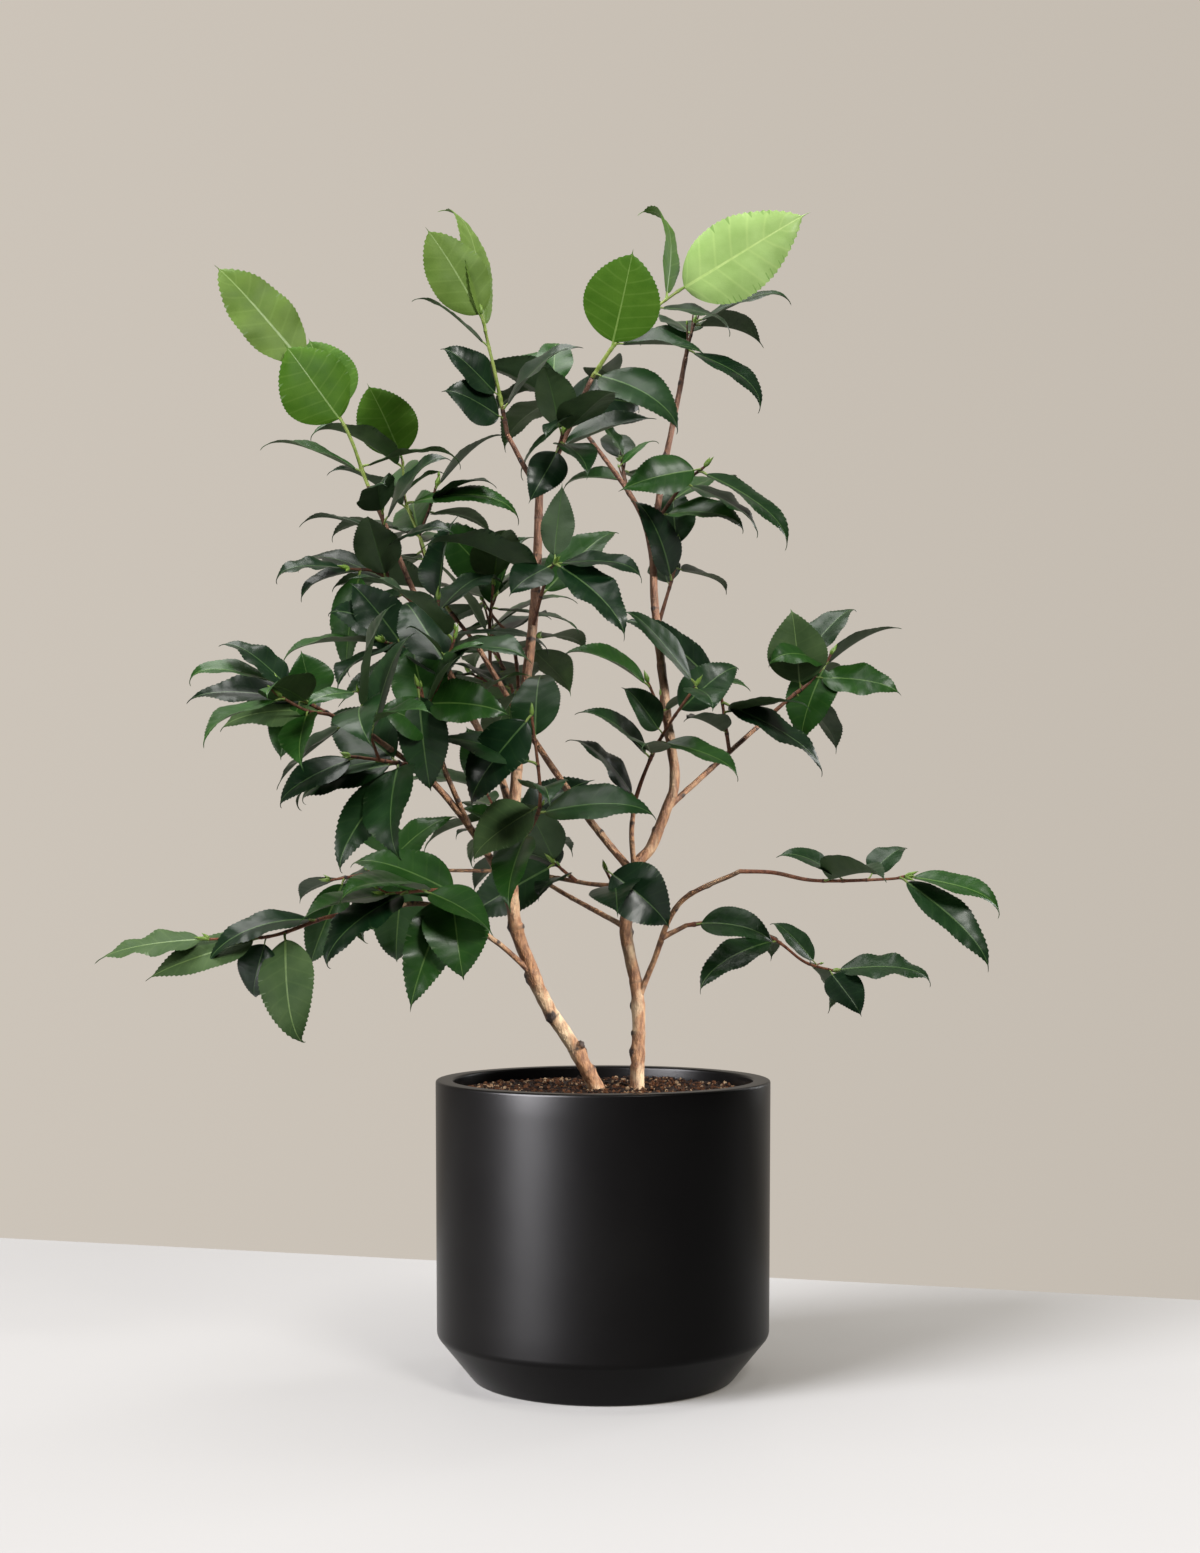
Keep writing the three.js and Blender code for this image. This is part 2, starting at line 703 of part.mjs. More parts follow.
// Two unit vectors across a direction: the first is level, the second leans up.
function acrossOf(direction) {
  let level = direction.clone().cross(up);
  level = level.lengthSq() > 0.02 ? level.normalize() : new THREE.Vector3(1, 0, 0);
  return [level, level.clone().cross(direction)];
}

function turned(direction, turn) {
  const [level, other] = acrossOf(direction);
  return level.multiplyScalar(Math.cos(turn)).addScaledVector(other, Math.sin(turn));
}

// ---------------------------------------------------------------- closed surfaces

// A closed surface over rings of equal size, capped at the foot and drawn to a tip or capped.
function skin(rings, tip) {
  const size = rings[0].length;
  const points = rings.flat();
  const faces = [];
  const at = (ring, k) => ring * size + (k % size);
  for (let ring = 0; ring + 1 < rings.length; ring += 1) {
    for (let k = 0; k < size; k += 1) {
      faces.push(at(ring, k), at(ring, k + 1), at(ring + 1, k + 1));
      faces.push(at(ring, k), at(ring + 1, k + 1), at(ring + 1, k));
    }
  }
  const last = rings.length - 1;
  for (let k = 1; k + 1 < size; k += 1) {
    faces.push(0, k + 1, k);
    if (!tip) faces.push(at(last, 0), at(last, k), at(last, k + 1));
  }
  if (tip) {
    points.push(tip);
    for (let k = 0; k < size; k += 1) faces.push(at(last, k), at(last, k + 1), points.length - 1);
  }
  const geometry = new THREE.BufferGeometry();
  geometry.setAttribute("position", new THREE.Float32BufferAttribute(
    points.flatMap((p) => [p.x, p.y, p.z]), 3));
  geometry.setIndex(faces);
  return geometry;
}

// A limb or twig: rings of some radius square to the curve, with no twist between them.
function tube(points, radiusAt, sides, options = {}) {
  const { levelFoot = false, extra = 0 } = options;
  const line = points.map((p) => p.clone());
  const tangents = line.map((p, i) => line[Math.min(i + 1, line.length - 1)].clone()
    .sub(line[Math.max(i - 1, 0)]).normalize());
  if (levelFoot) tangents[0].copy(up);
  line[0].addScaledVector(tangents[0], -extra);
  line[line.length - 1].addScaledVector(tangents[line.length - 1], extra);
  let normal = acrossOf(tangents[0])[0];
  const rings = line.map((centre, i) => {
    normal = normal.clone().addScaledVector(tangents[i], -normal.dot(tangents[i])).normalize();
    const other = tangents[i].clone().cross(normal);
    const radius = radiusAt(i / (line.length - 1)) + extra;
    return Array.from({ length: sides }, (_, k) => {
      const turn = (2 * Math.PI * k) / sides;
      return centre.clone().addScaledVector(normal, radius * Math.cos(turn))
        .addScaledVector(other, radius * Math.sin(turn));
    });
  });
  return skin(rings);
}

function toSolid(geometry) {
  return new wasm.Manifold(new wasm.Mesh({
    numProp: 3,
    vertProperties: new Float32Array(geometry.attributes.position.array),
    triVerts: new Uint32Array(geometry.index.array),
  }));
}

// The largest single body of a solid, as a geometry about its own origin point.
function toGeometry(solid, origin) {
  const bodies = solid.decompose().sort((a, b) => b.volume() - a.volume());
  const mesh = bodies[0].getMesh();
  const geometry = new THREE.BufferGeometry();
  geometry.setAttribute("position", new THREE.Float32BufferAttribute(mesh.vertProperties, 3));
  geometry.setIndex(Array.from(mesh.triVerts));
  return geometry.translate(-origin.x, -origin.y, -origin.z);
}

// ---------------------------------------------------------------- limbs

function limbRadius(limb, share) {
  const taper = mix(limb.radii[0], limb.radii[1], share ** 1.1);
  return taper * mix(limb.flare ?? 1, 1, Math.min(share / 0.06, 1) ** 0.5);
}

function limbCurves() {
  const curves = {};
  for (const [name, limb] of Object.entries(limbs)) {
    const points = limb.through.map(vector);
    if (limb.on) points.unshift(alongCurve(curves[limb.on], limb.at).point);
    curves[name] = curveThrough(points, 4);
  }
  return curves;
}

function limbGeometry(name, curves, extra = 0) {
  const limb = limbs[name];
  const points = curves[name].filter((_, i) => i % 2 === 0 || !limb.on);
  return tube(points, (share) => limbRadius(limb, share), limb.sides ?? 5,
    { levelFoot: !limb.on, extra });
}

// ---------------------------------------------------------------- leaves

// Midrib points, half widths and upward normals at the given shares of a leaf's length.
// The midrib bends down by the arch evenly and by the curl mostly near the tip.
function leafBlade(leaf, rows) {
  const { direction, normal, length, width, shape } = leaf;
  const angle = (s) => leaf.arch * s + leaf.curl * s ** 4;
  const bend = (a) => [
    direction.clone().multiplyScalar(Math.cos(a)).addScaledVector(normal, -Math.sin(a)),
    normal.clone().multiplyScalar(Math.cos(a)).addScaledVector(direction, Math.sin(a))];
  const [foot, tip] = shape;
  const peak = foot / (foot + tip);
  const widest = peak ** foot * (1 - peak) ** tip;
  const point = leaf.root.clone().addScaledVector(direction, leaf.petiole);
  const blade = [];
  for (let k = 0; k <= rows; k += 1) {
    const s = k / rows;
    blade.push({
      point: point.clone(), normal: bend(angle(s))[1],
      half: (0.5 * width * s ** foot * (1 - s) ** tip) / widest,
    });
    point.addScaledVector(bend(angle((k + 0.5) / rows))[0], length / rows);
  }
  return blade;
}

// Sample points over a leaf, in five columns, from which its clearance is measured.
function leafPoints(leaf, firstRow) {
  const side = leaf.direction.clone().cross(leaf.normal);
  const points = [];
  for (const row of leafBlade(leaf, 9).slice(firstRow)) {
    for (const share of [-0.9, -0.45, 0, 0.45, 0.9]) {
      const off = row.half * share;
      points.push(row.point.clone().addScaledVector(side, off)
        .addScaledVector(row.normal, Math.abs(off) * Math.tan(leaf.fold)));
    }
  }
  return points;
}

// The solid leaf: three-cornered rings, a stalk sunk in the twig and a blade with a keel below.
function leafGeometry(leaf) {
  const rows = 10;
  const blade = leafBlade(leaf, rows);
  const side = leaf.direction.clone().cross(leaf.normal);
  const ring = (centre, normal, half, raise, keel) => [
    centre.clone().addScaledVector(side, half).addScaledVector(normal, raise),
    centre.clone().addScaledVector(normal, -keel),
    centre.clone().addScaledVector(side, -half).addScaledVector(normal, raise)];
  const { stalk, thickness, broader } = solidLeaf;
  const rings = [leaf.root, blade[0].point].map((centre, i) => {
    const half = stalk[i];
    return ring(centre, leaf.normal, half, half * 0.6, half);
  });
  for (const station of solidLeaf.stations) {
    const row = blade[Math.round(station * rows)];
    const half = row.half * broader;
    rings.push(ring(row.point, row.normal, half, half * Math.tan(leaf.fold) * 0.5, thickness));
  }
  return skin(rings, blade[rows].point);
}

// ---------------------------------------------------------------- the growth rule

// Clouds stand for what has already grown: sample points with the space kept round them.
function makeCloud(name, kind, points, radius) {
  return { name, kind, points, radius, box: new THREE.Box3().setFromPoints(points) };
}

function clearOf(points, clouds, space) {
  const box = new THREE.Box3().setFromPoints(points);
  return clouds.every((cloud) => {
    const reach = space + cloud.radius;
    if (!box.clone().expandByScalar(reach).intersectsBox(cloud.box)) return true;
    return points.every((p) => cloud.points.every((q) => p.distanceToSquared(q) >= reach * reach));
  });
}

function lineCloud(name, kind, points, radius) {
  const count = Math.max(2, Math.floor(alongCurve(points, 0).total / 6));
  const samples = Array.from({ length: count + 1 }, (_, k) => alongCurve(points, k / count).point);
  return makeCloud(name, kind, samples, radius);
}

// The shoot's own stem and its side twigs. A twig with no room is left out.
function growTwigs(name, shoot, random, stem, clouds) {
  const axes = [{ points: stem, radii: rule.shootRadii }];
  const others = clouds.filter((cloud) => cloud.name !== shoot.on && cloud.name !== name);
  for (let k = 0; k < shoot.twigs; k += 1) {
    const share = 0.3 + (0.5 * (k + random(0.2, 0.8))) / shoot.twigs;
    const { point, direction } = alongCurve(stem, share);
    const radial = turned(direction, k * radians(rule.goldenTurn) + random(0, 6.28));
    const first = direction.clone().multiplyScalar(0.7).addScaledVector(radial, 0.75)
      .addScaledVector(up, 0.15).normalize();
    const length = random(...rule.twigLength);
    const middle = point.clone().addScaledVector(first, length * 0.5);
    const second = first.clone().addScaledVector(up, 0.25).normalize();
    const end = middle.clone().addScaledVector(second, length * 0.5);
    const points = curveThrough([point, middle, end], 3);
    if (clearOf(points.slice(2), others, rule.limbSpace)) {
      axes.push({ points, radii: rule.twigRadii });
    }
  }
  for (const twig of axes) clouds.push(lineCloud(name, "twig", twig.points, 1.5));
  return axes;
}

// A leaf set at a share of a twig, turned round it, drooping a little and facing up to the light.
function makeLeaf(random, points, share, turn, insertion, shoot) {
  const { point: root, direction: along } = alongCurve(points, share);
  const direction = along.clone().multiplyScalar(Math.cos(insertion))
    .addScaledVector(turned(along, turn), Math.sin(insertion)).normalize();
  const outward = root.clone().sub(axis).setZ(0);
  outward.divideScalar(Math.max(80, outward.length()));
  direction.addScaledVector(outward, rule.outwardPull)
    .addScaledVector(up, -shoot.droop * random(-0.1, 1.1)).normalize();
  const length = shoot.leaf * random(...rule.lengthShare);
  const normal = up.clone().multiplyScalar(0.85).addScaledVector(outward, 0.25)
    .addScaledVector(light, 0.45);
  normal.x += random(-0.3, 0.3);
  normal.y += random(-0.3, 0.3);
  normal.addScaledVector(direction, -normal.dot(direction)).normalize();
  return {
    root, direction, normal, length,
    width: length * random(...rule.widthShare),
    petiole: random(...rule.petiole),
    arch: radians(random(...rule.arch)),
    curl: radians(random(...rule.curl)),
    fold: radians(random(...rule.fold)),
    shape: rule.shape,
  };
}

// A leaf set by hand. The young ones are flat, broad at the foot and stand up to the light. A pose
// may give its own bend, as the turn between its two ends and the further turn of its tip.
function posedLeaf(points, { at, aim, face = [-0.1, -1, 0.25], length, width, bend: own, age }) {
  const root = alongCurve(points, at).point;
  const direction = vector(aim).normalize();
  const normal = vector(face);
  normal.addScaledVector(direction, -normal.dot(direction)).normalize();
  const bend = age === "young" ? rule.youngBend : rule.posedBend;
  const [arch, curl] = own ?? [bend.arch, bend.curl];
  return {
    root, direction, normal, length, width, petiole: 6,
    arch: radians(arch), curl: radians(curl), fold: radians(bend.fold), shape: bend.shape,
  };
}

function keepLeaf(name, grown, clouds, leaf, points) {
  const cloud = makeCloud(name, "leaf", points, rule.leafSpace);
  clouds.push(cloud);
  grown.mates.push(cloud);
  grown.leaves.push(leaf);
}

// Every shoot's posed leaves take their room before any leaf is grown.
function poseLeaves(name, grown, clouds) {
  for (const pose of grown.shoot.posed ?? []) {
    const leaf = posedLeaf(grown.axes[0].points, pose);
    keepLeaf(name, grown, clouds, leaf, leafPoints(leaf, 2));
  }
}

// Leaves go round each twig by the golden turn. One that finds no room after a few turns is
// left out, and so are the fallen ones, by their place in the order grown.
function growLeaves(name, grown, clouds) {
  const { shoot, random, mates } = grown;
  const limb = clouds.filter((cloud) => cloud.name === shoot.on);
  const others = clouds.filter((cloud) => cloud.name !== name && cloud.name !== shoot.on);
  grown.axes.forEach(({ points }, index) => {
    const count = index === 0 ? shoot.leaves : rule.leavesPerTwig;
    const [low, high] = index === 0 ? shoot.span ?? [0.12, 1] : [0.35, 1];
    let turn = random(0, 6.28);
    for (let k = 0; k < count; k += 1) {
      const u = (k + 0.5) / count;
      const share = low + (high - low) * (1 - (1 - u) ** 1.25);
      const insertion = radians(mix(...rule.insertion, u) + random(-10, 10));
      for (let attempt = 0; attempt < rule.tries; attempt += 1) {
        const tried = turn + random(-0.3, 0.3) + attempt * 0.9;
        const leaf = makeLeaf(random, points, share, tried, insertion, shoot);
        const samples = leafPoints(leaf, 2);
        if (clearOf(samples, others, rule.leafSpace) && clearOf(samples, limb, rule.limbSpace)
          && clearOf(leafPoints(leaf, 4), mates, rule.mateSpace)) {
          keepLeaf(name, grown, clouds, leaf, samples);
          break;
        }
      }
      turn += radians(rule.goldenTurn);
    }
  });
  const first = (shoot.posed ?? []).length;
  const fallen = (shoot.fallen ?? []).map((place) => place + first);
  grown.leaves = grown.leaves.filter((leaf, index) => !fallen.includes(index));
}

function growAll(curves) {
  const clouds = Object.entries(curves)
    .map(([name, points]) => {
      const { room, radii } = limbs[name];
      return lineCloud(name, "limb", points, room ?? radii[0]);
    });
  const grown = {};
  for (const [name, shoot] of Object.entries(shoots)) {
    const random = makeRandom(shoot.seed);
    const parent = curves[shoot.on];
    const root = shoot.at === undefined ? parent.at(-1) : alongCurve(parent, shoot.at).point;
    const stem = curveThrough([root, ...shoot.through.map(vector)], 4);
    grown[name] = {
      shoot, random, leaves: [], mates: [], axes: growTwigs(name, shoot, random, stem, clouds),
    };
  }
  for (const [name, plant] of Object.entries(grown)) poseLeaves(name, plant, clouds);
  for (const [name, plant] of Object.entries(grown)) growLeaves(name, plant, clouds);
  return grown;
}

// One solid of a shoot: its stem and twigs with every leaf joined on, cut clear of its limb.
function foliageSolid({ axes, leaves, shoot }, limbSolids) {
  const twigs = axes.map(({ points, radii }) => toSolid(tube(
    points.filter((_, i) => i % 2 === 0 || i === points.length - 1),
    (share) => 1.25 * mix(...radii, share), 3)));
  const blades = leaves.map((leaf) => toSolid(leafGeometry(leaf)));
  return wasm.Manifold.union([...twigs, ...blades]).subtract(limbSolids[shoot.on]);
}

// ---------------------------------------------------------------- pot and soil

function potGeometry() {
  const { height, lipRadius, waistRadius, waistHeight, footRadius, footRounding, wall } = pot;
  const mouth = lipRadius - wall;
  const r = pot.lipRounding;
  const profile = [
    [0, 0], [footRadius - footRounding, 0], [footRadius, footRounding * 0.35],
    [footRadius + footRounding, footRounding * 1.4], [waistRadius - 1, waistHeight - 1.6],
    [waistRadius, waistHeight + 1], [lipRadius, height - r],
    [lipRadius - r * 0.3, height - r * 0.3],
    [lipRadius - r, height], [mouth + r, height], [mouth + r * 0.3, height - r * 0.3],
    [mouth, height - r], [waistRadius - wall, waistHeight + 6], [footRadius - 10, pot.floor],
    [0, pot.floor]];
  return turnedBody(profile);
}

function soilGeometry() {
  const inner = pot.lipRadius - pot.wall - soil.clearance;
  const bottom = pot.floor + soil.clearance;
  const waist = pot.waistRadius - pot.wall - soil.clearance * 1.6;
  return turnedBody([
    [0, bottom], [pot.footRadius - 10.4, bottom], [waist, pot.waistHeight + 6.4],
    [inner - 0.2, soil.top], [0, soil.top]]);
}

// A body turned about the upright axis from a profile that starts and ends on it.
function turnedBody(profile) {
  const geometry = new THREE.LatheGeometry(
    profile.map(([radius, height]) => new THREE.Vector2(radius, height)), pot.sides);
  geometry.rotateX(Math.PI / 2);
  return weld(geometry);
}

// Merges a geometry's doubled points and drops the flat faces at its poles.
function weld(geometry) {
  const place = geometry.attributes.position;
  const points = [];
  const known = new Map();
  const moved = Array.from({ length: place.count }, (_, i) => {
    const p = [place.getX(i), place.getY(i), place.getZ(i)];
    const key = p.map((value) => Math.round(value * 1e4)).join(" ");
    if (!known.has(key)) {
      known.set(key, points.length / 3);
      points.push(...p);
    }
    return known.get(key);
  });
  const faces = [];
  for (let i = 0; i < geometry.index.count; i += 3) {
    const face = [0, 1, 2].map((k) => moved[geometry.index.getX(i + k)]);
    if (new Set(face).size === 3) faces.push(...face);
  }
  const welded = new THREE.BufferGeometry();
  welded.setAttribute("position", new THREE.Float32BufferAttribute(points, 3));
  welded.setIndex(faces);
  return welded;
}

// ---------------------------------------------------------------- the shrub

const material = Object.fromEntries(Object.entries(finishes)
  .map(([name, finish]) => [name, new THREE.MeshStandardMaterial({ name, ...finish })]));

function makeMesh(name, geometry, finish, origin = new THREE.Vector3()) {
  geometry.computeVertexNormals();
  const mesh = new THREE.Mesh(geometry, material[finish]);
  mesh.name = name;
  mesh.position.copy(origin);
  return mesh;
}

const shrub = new THREE.Group();
shrub.name = "camellia_shrub";
const woodGroup = new THREE.Group();
const foliageGroup = new THREE.Group();
const potGroup = new THREE.Group();
shrub.add(woodGroup, foliageGroup, potGroup);

const curves = limbCurves();
const swollen = {};
for (const name of Object.keys(limbs)) swollen[name] = toSolid(limbGeometry(name, curves, gap));

for (const [name, limb] of Object.entries(limbs)) {
  const origin = curves[name][0];
  let solid = toSolid(limbGeometry(name, curves));
  if (limb.on) solid = solid.subtract(swollen[limb.on]);
  const label = limb.on ? `bough_${name}` : name;
  woodGroup.add(makeMesh(label, toGeometry(solid, origin), "bark", origin));
}

for (const [name, plant] of Object.entries(growAll(curves))) {
  const origin = plant.axes[0].points[0];
  const geometry = toGeometry(foliageSolid(plant, swollen), origin);
  const finish = plant.shoot.posed?.some((pose) => pose.age === "young") ? "youngLeaf" : "leaf";
  foliageGroup.add(makeMesh(`foliage_${name}`, geometry, finish, origin));
}

potGroup.add(makeMesh("pot", potGeometry(), "glaze"), makeMesh("soil", soilGeometry(), "soil"));

export default shrub;
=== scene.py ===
import math

import bpy
import numpy as np
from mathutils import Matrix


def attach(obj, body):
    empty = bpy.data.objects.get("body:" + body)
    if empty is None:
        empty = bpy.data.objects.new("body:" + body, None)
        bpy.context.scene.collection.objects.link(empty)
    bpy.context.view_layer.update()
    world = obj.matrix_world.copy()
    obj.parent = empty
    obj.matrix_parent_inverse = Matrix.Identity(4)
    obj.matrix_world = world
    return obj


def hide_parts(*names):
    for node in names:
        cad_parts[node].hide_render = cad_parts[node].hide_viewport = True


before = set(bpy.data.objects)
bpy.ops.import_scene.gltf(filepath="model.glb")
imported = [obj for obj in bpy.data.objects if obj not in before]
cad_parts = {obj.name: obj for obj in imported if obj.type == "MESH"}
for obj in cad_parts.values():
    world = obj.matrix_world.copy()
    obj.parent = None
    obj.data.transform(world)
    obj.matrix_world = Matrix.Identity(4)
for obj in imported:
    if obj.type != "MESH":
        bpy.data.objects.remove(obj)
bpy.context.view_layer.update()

print("frame loaded with", len(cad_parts), "solids")

# The growth rule below works in millimetres; newPiece turns its points into metres.
millimetre = 0.001
up = np.array([0.0, 0.0, 1.0])


# Camera, table and lights

view = {
    "place": (-0.0023, -1.6, 0.368),   # level with the lowest boughs
    "lens": 48.77,
    "sensor": 36.0,
    "rise": 0.074,                     # lens shift that keeps the stems upright
}
table = {
    "corners": [(-3.0, -3.0), (3.0, -3.0), (3.0, 0.9), (0.66, 0.26), (-3.0, 1.316)],
    "colour": (0.286, 0.282, 0.282),
    "cloud": 1.015,                    # how much lighter its soft clouds are
    "glow": (0.118, 0.107, 0.091),     # keeps the floor even and its shadows soft
    "roughness": 0.6,
    "shine": 0.2,
}
# Places and sizes in metres, spreads in degrees.
studio = {
    "wall": ((0.612, 0.557, 0.490), (0.548, 0.497, 0.434)),    # seen behind, left and right
    "wallSpan": (-0.35, 0.35),
    "fill": ((0.050, 0.049, 0.046), (0.480, 0.437, 0.384)),    # sent back from before and behind
    "fillSpan": (-0.3, 0.9),
    "aim": (0.0, 0.0, 0.4),            # the point that every lamp faces
    "window": {"place": (-1.9, -1.45, 0.75), "size": (0.3, 1.5), "watts": 22, "tint": (1.0, 0.985, 0.96)},
    "front": {"place": (0.95, -1.75, 1.95), "size": (0.6, 0.6), "watts": 43, "tint": (1.0, 0.98, 0.945)},
    "ceiling": {"place": (-0.4, 0.0, 2.4), "size": (1.4, 1.4), "watts": 45, "tint": (1.0, 0.99, 0.965)},
    "edge": {"place": (1.6, 1.3, 0.9), "size": (0.4, 1.5), "watts": 12, "tint": (0.97, 0.985, 1.0)},
    "day": {"place": (-0.8, -0.6, 0.36), "spread": 32, "strength": 11.6, "tint": (0.95, 0.96, 1.0)},
    "gleam": {"place": (-0.775, -0.635, 0.36), "spread": 44, "strength": 50, "tint": (0.98, 0.955, 1.0)},
    "side": {"place": (0.80, -0.55, 0.35), "spread": 12, "strength": 7.0, "tint": (1.0, 0.96, 0.88)},
}


# The camera looks level along +Y, and its lens is shifted up.
def placeCamera():
    lens = bpy.data.cameras.new("camera")
    lens.lens, lens.sensor_width, lens.shift_y = view["lens"], view["sensor"], view["rise"]
    camera = bpy.data.objects.new("camera", lens)
    camera.location = view["place"]
    camera.rotation_euler = (math.radians(90), 0, 0)
    bpy.context.scene.collection.objects.link(camera)
    bpy.context.scene.camera = camera


# A rectangular lamp turned to face the point that all lamps aim at.
def placeLight(name):
    spec = studio[name]
    lamp = bpy.data.lights.new(name, "AREA")
    lamp.shape = "RECTANGLE"
    lamp.size, lamp.size_y = spec["size"]
    lamp.energy, lamp.color = spec["watts"], spec["tint"]
    holder = bpy.data.objects.new(name, lamp)
    holder.location = spec["place"]
    away = holder.location - type(holder.location)(studio["aim"])
    holder.rotation_euler = away.to_track_quat("Z", "Y").to_euler()
    bpy.context.scene.collection.objects.link(holder)


# Wide daylight from the direction of its place, and only for the pieces it is given.
def placeDay(name, lit):
    spec = studio[name]
    lamp = bpy.data.lights.new(name, "SUN")
    lamp.energy, lamp.color, lamp.angle = spec["strength"], spec["tint"], math.radians(spec["spread"])
    holder = bpy.data.objects.new(name, lamp)
    holder.location = spec["place"]
    holder.rotation_euler = holder.location.to_track_quat("Z", "Y").to_euler()
    bpy.context.scene.collection.objects.link(holder)
    reached = bpy.data.collections.new("reached_by_" + name)
    for piece in lit:
        reached.objects.link(piece)
    holder.light_linking.receiver_collection = reached


# The wall shades a little from left to right, and to everything but the eye it is a dimmer room.
def paintWall():
    world = bpy.data.worlds.new("wall")
    world.use_nodes = True
    tree = world.node_tree
    toward, split = tree.nodes.new("ShaderNodeTexCoord"), tree.nodes.new("ShaderNodeSeparateXYZ")
    tree.links.new(toward.outputs["Generated"], split.inputs["Vector"])
    across = spreadOut(tree, split.outputs["X"], studio["wallSpan"])
    wall = mixColours(tree, across, *studio["wall"])
    behind = spreadOut(tree, split.outputs["Y"], studio["fillSpan"])
    fill = mixColours(tree, behind, *studio["fill"])
    ray = tree.nodes.new("ShaderNodeLightPath")
    seen = mixColours(tree, ray.outputs["Is Camera Ray"], fill, wall)
    tree.links.new(seen, tree.nodes["Background"].inputs["Color"])
    bpy.context.scene.world = world


# Meshes

# Puts whole arrays into a new mesh: points in millimetres, faces of four and of three corners,
# a finish number for each face, a mark for each point, and a sheet place for each point.
def newPiece(name, points, quads, triangles, finishes, kinds=None, mark=None, sheet=None, crease=60):
    mesh = bpy.data.meshes.new(name)
    corners = np.concatenate([quads.ravel(), triangles.ravel()]).astype(np.int32)
    starts = np.concatenate([np.arange(len(quads)) * 4, quads.size + np.arange(len(triangles)) * 3])
    mesh.vertices.add(len(points))
    mesh.vertices.foreach_set("co", (points * millimetre).astype(np.float32).ravel())
    mesh.loops.add(len(corners))
    mesh.loops.foreach_set("vertex_index", corners)
    mesh.polygons.add(len(starts))
    mesh.polygons.foreach_set("loop_start", starts.astype(np.int32))
    if kinds is not None:
        mesh.polygons.foreach_set("material_index", kinds.astype(np.int32))
    for finish in finishes:
        mesh.materials.append(finish)
    if mark is not None:
        layer = mesh.attributes.new("mark", "FLOAT", "POINT")
        layer.data.foreach_set("value", mark.astype(np.float32).ravel())
    if sheet is not None:
        layer = mesh.uv_layers.new(name="along")
        layer.data.foreach_set("uv", sheet[corners].astype(np.float32).ravel())
    mesh.update(calc_edges=True)
    mesh.shade_smooth()
    mesh.set_sharp_from_angle(angle=math.radians(crease))
    piece = bpy.data.objects.new(name, mesh)
    bpy.context.scene.collection.objects.link(piece)
    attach(piece, "root")
    return piece


# Faces of a skin whose rings follow one another and close on a first and a last point:
# four-cornered between rings, three-cornered to the two end points, which come after the rings.
def ringFaces(rings, sides):
    index = np.arange(rings * sides).reshape(rings, sides)
    ahead = np.roll(index, -1, axis=1)
    quads = np.stack([index[:-1], ahead[:-1], ahead[1:], index[1:]], axis=-1).reshape(-1, 4)
    first, last = rings * sides, rings * sides + 1
    foot = np.stack([ahead[0], index[0], np.full(sides, first)], axis=-1)
    tip = np.stack([index[-1], ahead[-1], np.full(sides, last)], axis=-1)
    return quads, np.concatenate([foot, tip])


# Repeats the faces of one skin for many skins of the same layout, laid end to end.
def repeatFaces(faces, count, pointsEach):
    shifts = np.arange(count)[:, None, None] * pointsEach
    return (faces[None] + shifts).reshape(-1, faces.shape[1])


# Lays skins of different layouts end to end, with their faces counted on.
def joinSkins(skins):
    shifts = np.cumsum([0] + [len(skin["points"]) for skin in skins[:-1]])
    points, mark = (np.concatenate([skin[key] for skin in skins]) for key in ("points", "mark"))
    quads, triangles = (np.concatenate([skin[key] + shift for skin, shift in zip(skins, shifts)])
                        for key in ("quads", "triangles"))
    return points, quads, triangles, mark


# Even angles round a circle.
def around(count):
    return np.linspace(0, 2 * math.pi, count, endpoint=False)


# Directions drawn to a length of one, along the last axis.
def units(directions):
    return directions / np.linalg.norm(directions, axis=-1, keepdims=True)


# A bell: exp of minus (distance / width) squared.
def bell(distance, width):
    return np.exp(-(distance / width)**2)


# The distance run along a path at each of its points.
def runOf(path):
    return np.concatenate([[0], np.cumsum(np.sqrt((np.diff(path, axis=0)**2).sum(1)))])


# One array from the same entry of every item.
def gather(items, key):
    return np.array([item[key] for item in items], float)


# Finishes

blackWhite = ((0, 0, 0), (1, 1, 1))


# A new finish with its node tree and its shader.
def newFinish(name, colour, roughness):
    finish = bpy.data.materials.new(name)
    finish.use_nodes = True
    tree = finish.node_tree
    shader = tree.nodes["Principled BSDF"]
    shader.inputs["Base Color"].default_value = (*colour, 1)
    shader.inputs["Roughness"].default_value = roughness
    return finish, tree, shader


# Noise read on the object's own coordinates, in metres.
def grain(tree, scale, detail=3.0, stretch=(1, 1, 1), roughness=0.55):
    place = tree.nodes.new("ShaderNodeTexCoord")
    turn = tree.nodes.new("ShaderNodeMapping")
    turn.inputs["Scale"].default_value = stretch
    noise = tree.nodes.new("ShaderNodeTexNoise")
    noise.inputs["Scale"].default_value = scale
    noise.inputs["Detail"].default_value = detail
    noise.inputs["Roughness"].default_value = roughness
    tree.links.new(place.outputs["Object"], turn.inputs["Vector"])
    tree.links.new(turn.outputs["Vector"], noise.inputs["Vector"])
    return noise.outputs["Fac"]


# Two tones over a value: the first up to one level of it, the second from another, blended between.
def twoTones(tree, value, tones, levels=(0.3, 0.7)):
    ramp = tree.nodes.new("ShaderNodeValToRGB")
    for stop, level, tone in zip(ramp.color_ramp.elements, levels, tones):
        stop.position = level
        stop.color = (*tone, 1)
    tree.links.new(value, ramp.inputs["Fac"])
    return ramp.outputs["Color"]


